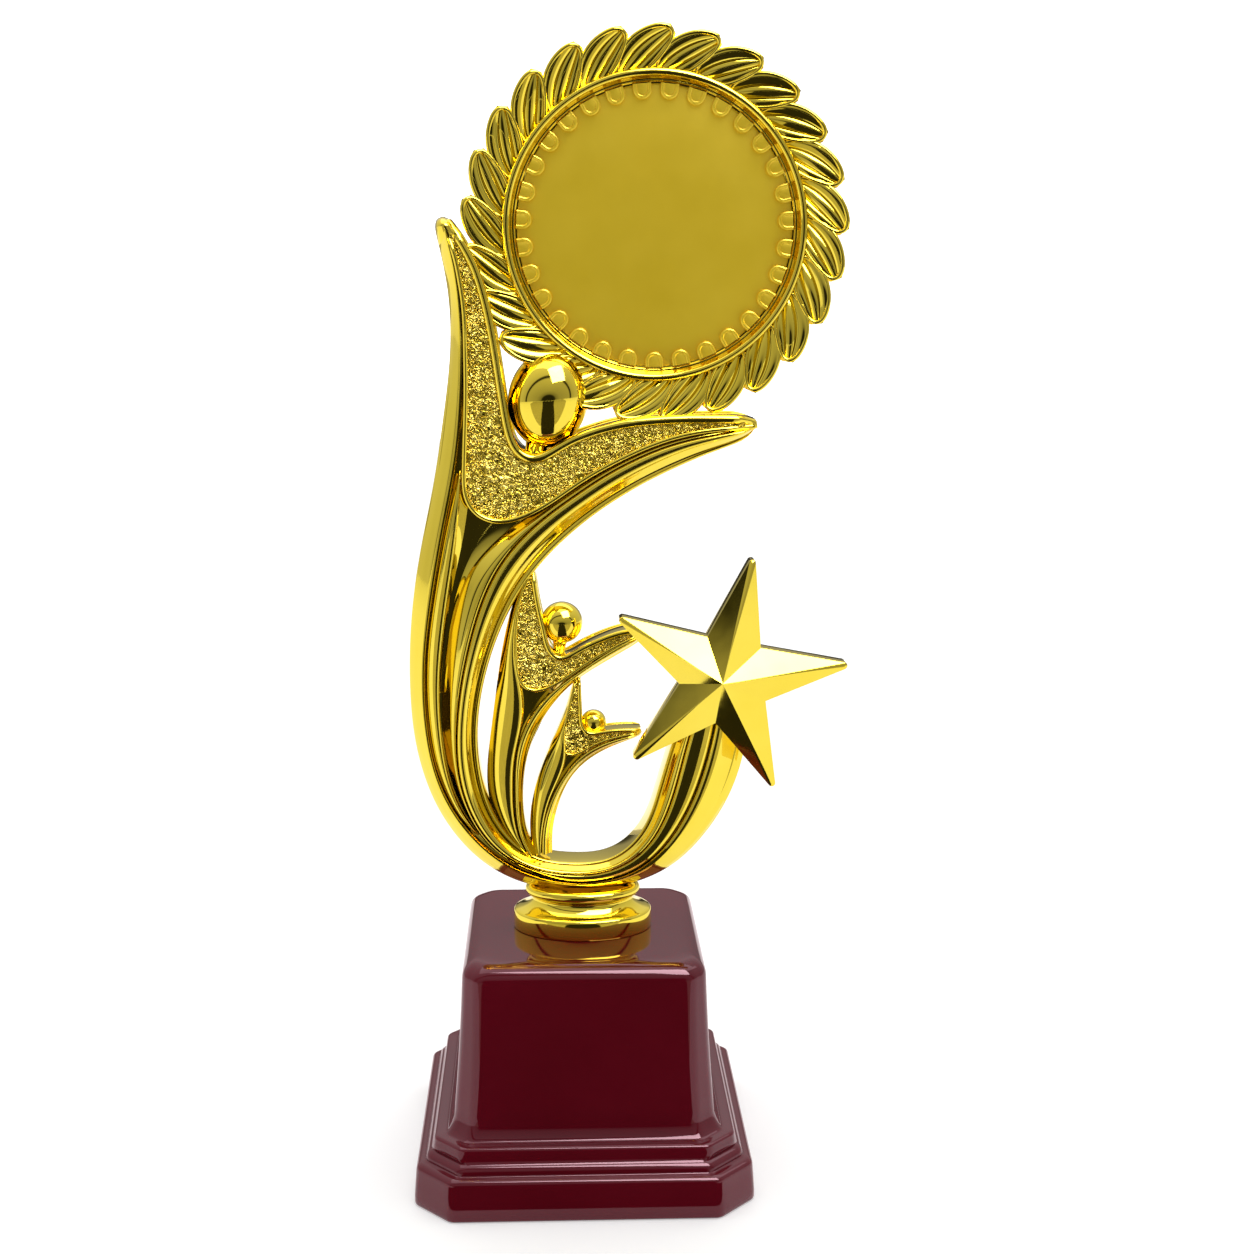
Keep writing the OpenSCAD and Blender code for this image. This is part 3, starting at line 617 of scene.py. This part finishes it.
def figure_piece(name, shells, node, rear):
    if rear:
        shells = [mirrored(s) for s in shells]
    v, f = join_shells(shells)
    obj = mesh_object(name, v, f, GILT, crease_deg=42)
    return add_piece(obj, "topper", [node])


def stipple_piece(name, shell, node, rear):
    if rear:
        shell = mirrored(shell)
    obj = mesh_object(name, shell[0], shell[1], STIPPLED, crease_deg=60)
    return add_piece(obj, "topper", [node])


# name, border curves, inset from them, depth, relief, crinkle size, points along and across
CHESTS = [
    ("large", CHEST_OUTSIDE, CHEST_INSIDE, (0.35, 1.0), 6.62, 0.3, 1.05, 620, 120),
    ("middle", MIDDLE_CHEST_OUTSIDE, MIDDLE_CHEST_INSIDE, (0.2, 0.5), 4.32, 0.26, 0.95, 300, 60),
    ("small", SMALL_CHEST_OUTSIDE, SMALL_CHEST_INSIDE, (0.15, 0.35), 3.32, 0.2, 0.8, 220, 36),
]


def build_figures():
    fine = 1
    figures = [
        ("large_figure", large_figure_shells(), "figure_front_shell", "figure_back_shell"),
        ("middle_figure", middle_figure_shells(), "middle_figure_front", "middle_figure_back"),
        ("small_figure", small_figure_shells(), "small_figure_front", "small_figure_back"),
    ]
    for name, shells, front, back in figures:
        figure_piece(name + "_front", shells, front, False)
        figure_piece(name + "_rear", shells, back, True)
    for name, outside, inside, inset, depth, relief, scale, count, across in CHESTS:
        shell = stipple_shell(outside, inside, inset, depth, relief, scale, count // fine, across // fine)
        stipple_piece(name + "_chest_stipple_front", shell, name + "_chest_panel_front", False)
        stipple_piece(name + "_chest_stipple_rear", shell, name + "_chest_panel_back", True)


# ---- heads

def revolved(profile, sides):
    """Closed shell of a profile of (radius, height) points turned about the z axis; it starts and
    ends on the axis."""
    profile = np.asarray(profile, float)
    a = np.linspace(0, 2 * math.pi, sides, endpoint=False)
    rings = [np.stack([r * np.cos(a), r * np.sin(a), np.full(sides, z)], axis=1)
             for r, z in profile[1:-1]]
    v = np.concatenate([[[0, 0, profile[0][1]]], *rings, [[0, 0, profile[-1][1]]]])
    n = len(profile) - 2
    faces = grid_faces(n, sides, start=1, wrap_cols=True)
    last = len(v) - 1
    for j in range(sides):
        k = (j + 1) % sides
        faces.append([0, 1 + k, 1 + j])
        faces.append([last, 1 + (n - 1) * sides + j, 1 + (n - 1) * sides + k])
    return v, faces


def placed(shell, turn_y, at):
    m = np.array(Matrix.Rotation(turn_y, 3, "Y"))
    return shell[0] @ m.T + np.array(at, float), shell[1]


def egg_shell(radius, height, lean, at):
    a = np.linspace(-math.pi / 2, math.pi / 2, 57)
    profile = [(radius * math.cos(t), height / 2 * math.sin(t)) for t in a]
    return placed(revolved(profile, 88), lean, at)


def neck_shell(start, end, radius):
    s, e = np.array(start, float), np.array(end, float)
    path = np.linspace(0, 1, 9)[:, None] * (e - s) + s
    flare = 1 + 0.35 * np.linspace(-1, 1, 9) ** 2
    return cord_shell(at_depth(path, 0.0), radius * flare, sides=20)


# piece, node, radius, height, lean in degrees, centre
HEADS = [
    ("egg_head", "head_large", 10.1, 24.6, 11, (-8.5, 0, 201.7)),
    ("middle_ball_head", "head_middle", 5.38, 10.76, 0, (-5.3, 0, 144.4)),
    ("small_ball_head", "head_small", 3.3, 6.6, 0, (2.9, 0, 117.8)),
]
# the pegs that hold them: start, end, radius
NECKS = [
    ((-12.4, 185.2), (-11, 192.4), 2.7), ((-6.2, 135), (-5.8, 139.6), 1.5),
    ((-11.6, 145.2), (-10, 145), 0.9), ((1.6, 113.4), (2, 115.2), 0.9),
    ((-1.2, 118.6), (0.2, 118.4), 0.6),
]


def build_heads():
    for name, node, radius, height, lean, centre in HEADS:
        v, f = egg_shell(radius, height, math.radians(lean), centre)
        add_piece(mesh_object(name, v, f, GILT), "topper", [node])
    v, f = join_shells([neck_shell(*neck) for neck in NECKS])
    add_piece(mesh_object("head_necks", v, f, GILT), "topper", ["head_pegs"])


# ---- wreath and medallion

MEDAL = (18.0, 244.0)
DISC_R = 35.0
RIM_R = 37.5
LEAF_TIP_R = 47.5
LEAF_FOOT_R = 36.0
LEAVES = 25
LEAF_SWEEP = 18.5
LEAF_OUTER = 4.9
LEAF_INNER = 3.9
LOOPS = 31
LOOP_LEVEL = 2.7
LOOP_HALF = 1.75
LOOP_LENGTH = 3.2
DISC_LEVEL = 2.7
DISC_DOME = 1.2
WEB_R = 44.0


def leaf_curves(number, along):
    """Spine of one leaf and its two half widths, outer and inner."""
    t = np.linspace(0.0, 1.0, along)
    tip = math.radians(5 + 360 / LEAVES * number)
    r = LEAF_FOOT_R + (LEAF_TIP_R - 0.9 - LEAF_FOOT_R) * t ** 1.05
    a = tip - math.radians(LEAF_SWEEP) * (1 - t)
    spine = np.stack([MEDAL[0] + r * np.sin(a), MEDAL[1] + r * np.cos(a)], axis=1)
    tangent = np.gradient(spine, axis=0)
    tangent /= np.linalg.norm(tangent, axis=1)[:, None]
    normal = np.stack([-tangent[:, 1], tangent[:, 0]], axis=1)
    swell = np.sin(math.pi * (0.06 + 0.9 * t)) ** 0.6
    return t, spine, normal, LEAF_OUTER * swell, LEAF_INNER * swell


def leaf_level(t):
    return 1.7 + 2.3 * np.sin(0.5 * math.pi * t)


def leaf_blade(number):
    """One leaf with three rounded ridges along it."""
    along, across = 26, 37
    t, spine, normal, outer, inner = leaf_curves(number, along)
    s = np.linspace(-1, 1, across)
    ridge = 0.8 * np.abs(np.sin(1.5 * math.pi * (s + 1))) ** 0.6
    sections = np.zeros((along, across + 2, 3))
    for j in range(across):
        half = np.where(s[j] > 0, outer, inner) * s[j]
        y = leaf_level(t) + ridge[j] * np.sin(math.pi * (0.12 + 0.8 * t)) + 0.75 * s[j]
        sections[:, j + 1] = at_depth(spine + normal * half[:, None], y)
    sections[:, 0] = at_depth(spine - normal * inner[:, None], 0.0)
    sections[:, -1] = at_depth(spine + normal * outer[:, None], 0.0)
    return tube_shell(sections)


def leaf_bead(number):
    """Round bead along the outline of one leaf and about its tip."""
    along = 26
    t, spine, normal, outer, inner = leaf_curves(number, along)
    out_side = spine + normal * (outer - 0.45)[:, None]
    in_side = spine - normal * (inner - 0.35)[:, None]
    path = np.concatenate([out_side[1:-1], [spine[-1]], in_side[::-1][1:-1]])
    level = np.concatenate([leaf_level(t)[1:-1] + 0.75, [leaf_level(1.0) + 0.45],
                            leaf_level(t)[::-1][1:-1] + 0.1])
    count = 56
    line = resample(np.column_stack([path, level]), count)
    line = fair(line, 6)
    s = np.linspace(0, 1, count)
    radius = 0.62 - 0.2 * ease((s - 0.45) / 0.2)
    return cord_shell(at_depth(line[:, :2], line[:, 2]), radius, sides=12)


def ring_shell(profile, sides=180):
    """Profile of (radius, depth) points, closed, turned about the medallion's own axis."""
    profile = np.asarray(profile, float)
    a = np.linspace(0, 2 * math.pi, sides, endpoint=False)
    sections = np.zeros((sides, len(profile), 3))
    sections[:, :, 0] = MEDAL[0] + np.sin(a)[:, None] * profile[None, :, 0]
    sections[:, :, 1] = -profile[None, :, 1]
    sections[:, :, 2] = MEDAL[1] + np.cos(a)[:, None] * profile[None, :, 0]
    return sections.reshape(-1, 3), grid_faces(sides, len(profile), wrap_cols=True, wrap_rows=True)


def bead_arc(centre_r, centre_y, radius, start_deg, end_deg, steps):
    a = np.radians(np.linspace(start_deg, end_deg, steps))
    return [(centre_r + radius * math.cos(t), centre_y + radius * math.sin(t)) for t in a]


def rim_profile():
    """Round outer bead and a hollow chamfer with fine lines down to the disc."""
    profile = [(DISC_R - 1.1, 0.0), (DISC_R - 1.0, 2.2), (DISC_R - 0.6, 2.25)]
    profile += bead_arc(DISC_R - 0.2, 2.5, 0.22, 170, 20, 6)
    profile += [(DISC_R + 0.2, 2.75), (DISC_R + 0.45, 3.15), (DISC_R + 0.6, 3.6)]
    profile += bead_arc(DISC_R + 1.65, 3.75, 0.95, 172, 8, 16)
    profile += [(RIM_R + 0.3, 2.6), (RIM_R + 0.5, 0.0)]
    return profile


def loop_outline(number, half, length):
    """Outline of one U-shaped tab that points to the medallion's centre."""
    turn = 2 * math.pi * (number + 0.5) / LOOPS
    a = np.linspace(0, math.pi, 17)
    u = np.concatenate([[half, half], half * np.cos(a), [-half, -half]])
    v = np.concatenate([[0.0, -0.5 * (length - half)], -(length - half) - half * np.sin(a),
                        [-0.5 * (length - half), 0.0]])
    r = DISC_R - 0.9 + v
    x = MEDAL[0] + r * math.sin(turn) + u * math.cos(turn)
    z = MEDAL[1] + r * math.cos(turn) - u * math.sin(turn)
    return np.stack([x, z], axis=1)


def tab_shell(number):
    """Raised flat tab inside one loop, with a sloped border."""
    rings = [at_depth(resample(loop_outline(number, half, length), 30), y)
             for half, length, y in ((LOOP_HALF, LOOP_LENGTH, LOOP_LEVEL - 0.9),
                                     (LOOP_HALF - 0.15, LOOP_LENGTH - 0.15, LOOP_LEVEL),
                                     (LOOP_HALF - 0.75, LOOP_LENGTH - 0.75, LOOP_LEVEL + 0.2))]
    return tube_shell(np.array(rings))


def medal_disc_shells():
    steps = np.linspace(0, 1, 24)
    profile = [(0, DISC_LEVEL)] + [(DISC_R * 0.999 * s, DISC_LEVEL - DISC_DOME * s * s) for s in steps[1:]]
    disc_profile = [(0.0, 0.6)] + [(DISC_R, 0.6)] + profile[:0:-1] + [(0.0, DISC_LEVEL)]
    v, f = revolved(disc_profile, 180)
    v = np.stack([MEDAL[0] + v[:, 0], -v[:, 2], MEDAL[1] + v[:, 1]], axis=1)
    shells = [(v, f)]
    for k in range(LOOPS):
        shells.append(tab_shell(k))
        path = at_depth(resample(loop_outline(k, LOOP_HALF, LOOP_LENGTH), 30), LOOP_LEVEL)
        shells.append(cord_shell(path, 0.5, sides=10))
    return shells


def build_medallion():
    leaves = [leaf_blade(k) for k in range(LEAVES)] + [leaf_bead(k) for k in range(LEAVES)]
    rim = ring_shell(rim_profile())
    web = ring_shell([(RIM_R - 1, 0.0), (RIM_R - 1, 1.7), (WEB_R - 0.5, 1.7), (WEB_R, 0.0)])
    disc = medal_disc_shells()
    for side, rear in (("front", False), ("back", True)):
        shells = [*leaves, rim, web]
        disc_shells = disc
        if rear:
            shells = [mirrored(s) for s in shells]
            disc_shells = [mirrored(s) for s in disc]
        v, f = join_shells(shells)
        obj = mesh_object("laurel_wreath_" + side, v, f, GILT, crease_deg=50)
        add_piece(obj, "topper", ["wreath_" + side])
        v, f = join_shells(disc_shells)
        obj = mesh_object("satin_disc_" + side, v, f, SATIN, crease_deg=35)
        add_piece(obj, "topper", ["medallion_disc_" + side])


# ---- star

STAR_AT = (36.1, 132.2)
STAR_R = 31.15
STAR_INNER_R = 11.9
STAR_TURN = 12.0
STAR_BACK = 8.02
STAR_SKIRT = 5.0
STAR_PEAK = 5.7
STAR_TIP_R = 0.9
TIP_ARC_DEG = 73
TIP_STEPS = 9
APEX_SHIFT = 1.3


def star_ring(r_out, r_in, depth):
    """Outline of the star with rounded tips, at one depth: five times an arc and an inner corner."""
    points = []
    for i in range(5):
        a = math.radians(STAR_TURN + 72 * i)
        for t in np.radians(np.linspace(-TIP_ARC_DEG, TIP_ARC_DEG, TIP_STEPS)):
            x = (r_out - STAR_TIP_R) * math.sin(a) + STAR_TIP_R * math.sin(a + t)
            z = (r_out - STAR_TIP_R) * math.cos(a) + STAR_TIP_R * math.cos(a + t)
            points.append((x, z))
        b = a + math.radians(36)
        points.append((r_in * math.sin(b), r_in * math.cos(b)))
    return at_depth(np.array(points) + STAR_AT, depth)


def ridge_ends(face):
    """Outer end of each ridge, on the line from the apex to the sharp tip that the arc rounds off."""
    middle = STAR_R - STAR_TIP_R
    sharp = middle + STAR_TIP_R / math.cos(math.radians(TIP_ARC_DEG))
    share = 1 - middle / sharp
    ends = []
    for i in range(5):
        a = math.radians(STAR_TURN + 72 * i)
        x = middle * math.sin(a) - APEX_SHIFT * share
        ends.append((STAR_AT[0] + x, -(face + STAR_PEAK * share), STAR_AT[1] + middle * math.cos(a)))
    return np.array(ends)


def build_star():
    face = STAR_BACK + STAR_SKIRT
    rings = [star_ring(STAR_R - 0.1, STAR_INNER_R, STAR_BACK),
             star_ring(STAR_R, STAR_INNER_R, STAR_BACK + 0.3),
             star_ring(STAR_R, STAR_INNER_R, face - 0.3),
             star_ring(STAR_R - 0.15, STAR_INNER_R - 0.1, face)]
    cols = len(rings[0])
    ends = ridge_ends(face)
    top = [STAR_AT[0] - APEX_SHIFT, -(face + STAR_PEAK), STAR_AT[1]]
    vertices = np.concatenate([*rings, ends, [top]])
    faces = grid_faces(len(rings), cols, wrap_cols=True)
    faces.append(list(range(cols))[::-1])
    edge, apex = (len(rings) - 1) * cols, len(vertices) - 1
    step = TIP_STEPS + 1
    for i in range(5):
        first, last = edge + step * i, edge + step * i + TIP_STEPS - 1
        before, after, ridge = edge + (step * i - 1) % cols, last + 1, len(rings) * cols + i
        faces += [[apex, before, first, ridge], [apex, ridge, last, after]]
        faces += [[k, k + 1, ridge] for k in range(first, last)]
    obj = mesh_object("faceted_star", vertices, faces, GILT, crease_deg=14)
    add_piece(obj, "topper", ["star_front"])


# ---- collar

COLLAR_OVAL = 0.69


def collar_profile(z0):
    """Outline of the collar from the plinth up, as (half width, height)."""
    p = [(0, 0), (17.9, 0.0), (18.2, 0.15), (18.3, 0.5), (18.3, 4.5), (18.15, 5.0),
         (17.8, 5.3), (17.0, 5.5), (15.8, 5.9), (14.8, 6.4), (14.0, 7.0), (13.4, 7.7), (13.15, 8.3),
         (13.3, 8.8), (13.9, 9.2)]
    p += bead_arc(13.85, 10.55, 1.35, -60, 75, 11)
    p += [(14.0, 11.92), (13.0, 11.97), (0, 11.98)]
    return [(r, z0 + h) for r, h in p]


def build_collar():
    z0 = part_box("collar")[0].z / MM
    v, f = revolved(collar_profile(z0), 144)
    obj = mesh_object("collar_turned", v * np.array([1, COLLAR_OVAL, 1]), f, GILT, crease_deg=40)
    add_piece(obj, "topper", ["collar"])


# ---- plinth

def rounded_octagon(half, cut, radius, arc=6, flat=6):
    """Square of the given half width with cut corners, every corner rounded."""
    corners = []
    for sx, sz in ((1, -1), (1, 1), (-1, 1), (-1, -1)):
        first = (sx * half, sz * (half - cut))
        second = (sx * (half - cut), sz * half)
        corners += [first, second] if sx * sz > 0 else [second, first]
    n = len(corners)
    out = []
    for i, c in enumerate(corners):
        c = np.array(c, float)
        before = np.array(corners[i - 1], float) - c
        after = np.array(corners[(i + 1) % n], float) - c
        lb, la = np.linalg.norm(before), np.linalg.norm(after)
        r = min(radius, 0.45 * lb, 0.45 * la)
        start, end = c + before / lb * r, c + after / la * r
        for t in np.linspace(0, 1, arc):
            out.append((1 - t) ** 2 * start + 2 * t * (1 - t) * c + t * t * end)
        nxt = c + after - after / la * min(radius, 0.45 * la)
        for t in np.linspace(0, 1, flat + 2)[1:-1]:
            out.append(end * (1 - t) + nxt * t)
    return np.array(out)


STEP_TOP = 17.4
BLOCK_EDGE = 4.0
STUD_HOLE_R = 4.3
TOP_WALL = 2.2
# foot of the block above the step, as (height, half width)
BLOCK_FLARE = [(0.1, 35.35), (0.35, 35.05), (0.8, 34.7), (1.4, 34.35), (2.1, 34.0), (2.9, 33.7), (3.8, 33.45)]
# hollow below the top wall, down to the rim, as (height, half width, corner cut)
HOLLOW_TOP = (27.8, 3.2)
HOLLOW = [(20, 31.8, 4.4), (15, 36, 6), (9, 40.9, 8.6), (0.0, 41.3, 8.8)]


def plinth_rings(z_top):
    """Levels of the plinth from its rim up: height, half width, corner cut, corner radius."""
    rings = [(0.0, 42.9, 9.2, 1.2), (0.25, 43.3, 9.4, 1.3), (0.8, 43.48, 9.5, 1.4)]
    rings += [(2.5, 43.45, 9.5, 1.4), (6, 43.2, 9.5, 1.4), (9.2, 42.95, 9.45, 1.4)]
    for a in np.radians(np.linspace(15, 90, 6)):
        rings.append((9.4 + 1.5 * math.sin(a), 41.4 + 1.5 * math.cos(a), 9.2, 1.4))
    rings += [(10.95, 40.9, 9.0, 1.5), (11.1, 40.6, 8.9, 1.5)]
    for a in np.radians(np.linspace(0, 75, 6)):
        rings.append((11.4 + 2.2 * math.sin(a), 40.5 - 1.9 * (1 - math.cos(a)), 8.7, 1.5))
    rings += [(14.2, 38.75, 7.6, 1.5), (15.4, 38.6, 7.4, 1.5), (STEP_TOP - 0.8, 38.45, 7.3, 1.5)]
    for a in np.radians(np.linspace(15, 90, 6)):
        rings.append((STEP_TOP - 0.8 + 0.8 * math.sin(a), 37.6 + 0.8 * math.cos(a), 7.1, 1.5))
    rings += [(STEP_TOP + 0.02, 36.6, 6.6, 1.5), (STEP_TOP + 0.05, 35.7, 5.8, 1.5)]
    # the block's face flares out to the step
    rings += [(STEP_TOP + h, half, 5.4, 1.7) for h, half in BLOCK_FLARE]
    foot_z, foot = STEP_TOP + BLOCK_FLARE[-1][0], BLOCK_FLARE[-1][1]
    face_top, half_top = z_top - BLOCK_EDGE, 31.0
    for t in np.linspace(0.06, 1, 9):
        sag = 0.25 * math.sin(math.pi * t)
        half = foot + (half_top - foot) * t - sag
        rings.append((foot_z + (face_top - foot_z) * t, half, 5.2 - 1.2 * t, 1.8))
    for a in np.radians(np.linspace(10, 90, 9)):
        rings.append((face_top + BLOCK_EDGE * math.sin(a), half_top - BLOCK_EDGE * (1 - math.cos(a)),
                      4.0, 2.0))
    return rings


def build_plinth():
    z_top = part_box("base_shell")[1].z / MM
    rings = plinth_rings(z_top)
    z_end = rings[-1][0]
    sections = []
    for z, half, cut, radius in rings:
        outline = rounded_octagon(half, cut, radius)
        sections.append(np.column_stack([outline, np.full(len(outline), min(z, z_top))]))
    top = sections[-1]
    for share in (0.9, 0.75, 0.6):
        inner = top.copy()
        inner[:, :2] *= share
        sections.append(inner)
    count = len(top)
    angles = np.arctan2(top[:, 1], top[:, 0])
    hole = STUD_HOLE_R * np.column_stack([np.cos(angles), np.sin(angles), np.zeros(count)])
    hole[:, 2] = z_end
    sections.append(hole)
    lip = hole.copy()
    lip[:, 2] = z_end - TOP_WALL
    sections.append(lip)
    for z, half, cut in [(z_end - TOP_WALL, *HOLLOW_TOP), *HOLLOW]:
        outline = rounded_octagon(half, cut, 1.0)
        sections.append(np.column_stack([outline, np.full(count, z)]))
    sections = np.array(sections)
    rows, cols = sections.shape[:2]
    faces = grid_faces(rows, cols, wrap_cols=True, wrap_rows=True)
    obj = mesh_object("stepped_plinth", sections.reshape(-1, 3), faces, MAROON, crease_deg=50)
    add_piece(obj, "base", ["base_shell"])


def dress_cad_nodes():
    """CAD nodes that stay get their finished materials."""
    looks = {
        "base_bottom_plate": BLACK, "base_screws": STEEL, "base_weight": STEEL, "collar_nut": STEEL,
        "threaded_stud": STEEL, "stud_washer": STEEL, "stud_nut": STEEL, "star_back": GILT,
        "star_pegs": GILT}
    for node, material in looks.items():
        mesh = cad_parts[node].data
        mesh.materials.clear()
        mesh.materials.append(material)


# ---- stage, light and camera

STAGE_HALF = 6.0
BACKDROP_R = 2.0
FLOOR_GLOW = 0.36


def glowing_paper(name, scale, low, high, glow, roughness):
    """White paper that also gives a little light of its own."""
    material, tree, shader = principled(name, Roughness=roughness, Specular_IOR_Level=0.0,
                                        Emission_Strength=glow)
    cloudy_colour(tree, shader, scale, 2, (low, low, low), (high, high, high))
    tree.links.new(shader.inputs["Base Color"].links[0].from_socket, shader.inputs["Emission Color"])
    return material


def build_stage():
    """Pale floor and, round it, a plain backdrop that only the camera sees."""
    corners = [(-STAGE_HALF, -STAGE_HALF, 0), (STAGE_HALF, -STAGE_HALF, 0),
               (STAGE_HALF, STAGE_HALF, 0), (-STAGE_HALF, STAGE_HALF, 0)]
    paper = glowing_paper("stage_white", 8, 0.79, 0.81, FLOOR_GLOW, 0.9)
    mesh_object("stage_floor", np.array(corners) / MM, [[0, 1, 2, 3]], paper)
    rise = np.linspace(0, 0.5 * math.pi, 24)
    turn = np.linspace(0, 2 * math.pi, 64, endpoint=False)
    rings = [[(BACKDROP_R * math.cos(a) * math.cos(t), BACKDROP_R * math.cos(a) * math.sin(t),
               BACKDROP_R * math.sin(a)) for t in turn] for a in rise[:-1]]
    points = np.array(rings).reshape(-1, 3) / MM
    faces = grid_faces(len(rings), len(turn), wrap_cols=True)
    faces.append([(len(rings) - 1) * len(turn) + j for j in range(len(turn))])
    paper = glowing_paper("backdrop_paper", 3, 0.97, 1.0, 1.0, 1.0)
    backdrop = mesh_object("stage_backdrop", points, faces, paper)
    backdrop.visible_shadow = False
    backdrop.visible_diffuse = False
    backdrop.visible_glossy = False


def card(name, outline, tone):
    """Studio card that only shows in reflections."""
    v = [[c / MM for c in corner] for corner in outline]
    obj = mesh_object(name, v, [list(range(len(v)))])
    material, tree, shader = principled(name + "_cloth", Roughness=1.0, Specular_IOR_Level=0.0)
    weave = noise_node(tree, 40, 3)
    dark, light = tuple(0.8 * c for c in tone), tuple(1.2 * c for c in tone)
    colour = ramp_node(tree, weave.outputs["Fac"], [(0.3, dark), (0.7, light)])
    tree.links.new(colour.outputs["Color"], shader.inputs["Base Color"])
    obj.data.materials.append(material)
    obj.visible_camera = False
    obj.visible_shadow = False
    obj.visible_diffuse = False


CARD_DARK = (0.025, 0.024, 0.02)
CARD_DIM = (0.50, 0.475, 0.40)


def build_cards():
    """A dark and a dim card on the floor in front, and a dim one behind."""
    dark = [(-0.05, -0.0445), (0.05, -0.0445), (0.28, -1.0), (1.45, -5.0), (-1.45, -5.0), (-0.28, -1.0)]
    wide = [(-0.09, -0.14), (0.09, -0.14), (1.7, -1.35), (4.5, -5.0), (-4.5, -5.0), (-1.7, -1.35)]
    card("floor_card_dark", [(x, y, 0.003) for x, y in dark], CARD_DARK)
    card("floor_card_wide", [(x, y, 0.002) for x, y in wide], CARD_DIM)
    card("floor_card_rear", [(x, -y, 0.002) for x, y in wide[2:]], CARD_DIM)


def area_light(name, at, look_at, size, watts, lights_surfaces=True):
    data = bpy.data.lights.new(name, "AREA")
    data.shape = "RECTANGLE"
    data.size, data.size_y = size
    data.energy = watts
    obj = bpy.data.objects.new(name, data)
    SCENE.collection.objects.link(obj)
    obj.location = at
    direction = Vector(look_at) - Vector(at)
    obj.rotation_euler = direction.to_track_quat("-Z", "Y").to_euler()
    obj.visible_diffuse = lights_surfaces
    return obj


OPENING_HEIGHT = 1.98


def map_ramp(tree, source, low, high, stops):
    """Grey ramp over source, which runs from low to high."""
    scaled = add_node(tree, "ShaderNodeMapRange", From_Min=low, From_Max=high)
    tree.links.new(source, scaled.inputs["Value"])
    span = high - low
    ramp = ramp_node(tree, scaled.outputs["Result"], [((at - low) / span, (v, v, v)) for at, v in stops])
    return ramp.outputs["Color"]


def multiply(tree, first, second):
    node = add_node(tree, "ShaderNodeMix", Factor=1.0)
    node.data_type = "RGBA"
    node.blend_type = "MULTIPLY"
    tree.links.new(first, node.inputs["A"])
    tree.links.new(second, node.inputs["B"])
    return node.outputs["Result"]


def build_world():
    """White tent with a dim opening towards the front."""
    world = bpy.data.worlds.new("studio")
    SCENE.world = world
    world.use_nodes = True
    tree = world.node_tree
    coords = tree.nodes.new("ShaderNodeTexCoord")
    direction = tree.nodes.new("ShaderNodeSeparateXYZ")
    tree.links.new(coords.outputs["Generated"], direction.inputs["Vector"])
    stretched = tree.nodes.new("ShaderNodeVectorMath")
    stretched.operation = "MULTIPLY"
    stretched.inputs[1].default_value = (1, 1, OPENING_HEIGHT)
    tree.links.new(coords.outputs["Generated"], stretched.inputs[0])
    unit = tree.nodes.new("ShaderNodeVectorMath")
    unit.operation = "NORMALIZE"
    tree.links.new(stretched.outputs["Vector"], unit.inputs[0])
    front = tree.nodes.new("ShaderNodeSeparateXYZ")
    tree.links.new(unit.outputs["Vector"], front.inputs["Vector"])
    opening = map_ramp(tree, front.outputs["Y"], -1, 1, [
        (-1.0, 0.02), (-0.955, 0.02), (-0.93, 0.25), (-0.85, 0.42), (-0.66, 0.52), (-0.48, 0.58),
        (-0.44, 0.03), (-0.40, 0.03), (-0.36, 0.62), (-0.15, 0.78), (0.1, 0.88), (0.7, 0.9),
        (0.8, 0.5), (0.93, 0.35), (0.955, 0.05), (1.0, 0.05)])
    sides = map_ramp(tree, direction.outputs["X"], -1, 1,
                     [(-1.0, 0.85), (0.0, 1.0), (0.5, 0.88), (1.0, 0.75)])
    height = map_ramp(tree, direction.outputs["Z"], -1, 1,
                      [(-1.0, 1.0), (0.1, 0.9), (0.5, 1.0), (0.9, 1.15)])
    background = tree.nodes["Background"]
    total = multiply(tree, multiply(tree, opening, sides), height)
    tree.links.new(total, background.inputs["Color"])
    background.inputs["Strength"].default_value = 1.0


# place, aim, size in metres, watts
SOFTBOX = ((0.35, -0.55, 1.06), (0.036, -0.015, 0.132), (0.75, 0.75), 20.0)
SKY = ((0.2, 0.6, 3.2), (0.0, 0.2, 0.0), (4.0, 4.0), 60)


def build_lights():
    area_light("softbox", *SOFTBOX, lights_surfaces=False)
    area_light("sky", *SKY)
    build_world()


CAMERA_AT = (-0.0075, -0.4510, 0.2349)
CAMERA_LENS = 51.13
PITCH_YAW_ROLL_DEG = (11.50, -2.42, 0.22)


def build_camera():
    data = bpy.data.cameras.new("camera")
    data.sensor_width = 36
    data.lens = CAMERA_LENS
    data.clip_start = 0.01
    obj = bpy.data.objects.new("camera", data)
    SCENE.collection.objects.link(obj)
    pitch, yaw, roll = np.radians(PITCH_YAW_ROLL_DEG)
    obj.location = CAMERA_AT
    forward = Vector((-math.sin(yaw) * math.cos(pitch), math.cos(yaw) * math.cos(pitch), -math.sin(pitch)))
    right = Vector((math.cos(yaw), math.sin(yaw), 0))
    up = right.cross(forward)
    right2 = math.cos(roll) * right + math.sin(roll) * up
    up2 = -math.sin(roll) * right + math.cos(roll) * up
    obj.rotation_euler = Matrix((right2, up2, -forward)).transposed().to_euler()
    SCENE.camera = obj


build_camera()
build_stage()
build_cards()
build_lights()
build_plinth()
build_collar()
build_figures()
build_heads()
build_medallion()
build_star()
dress_cad_nodes()
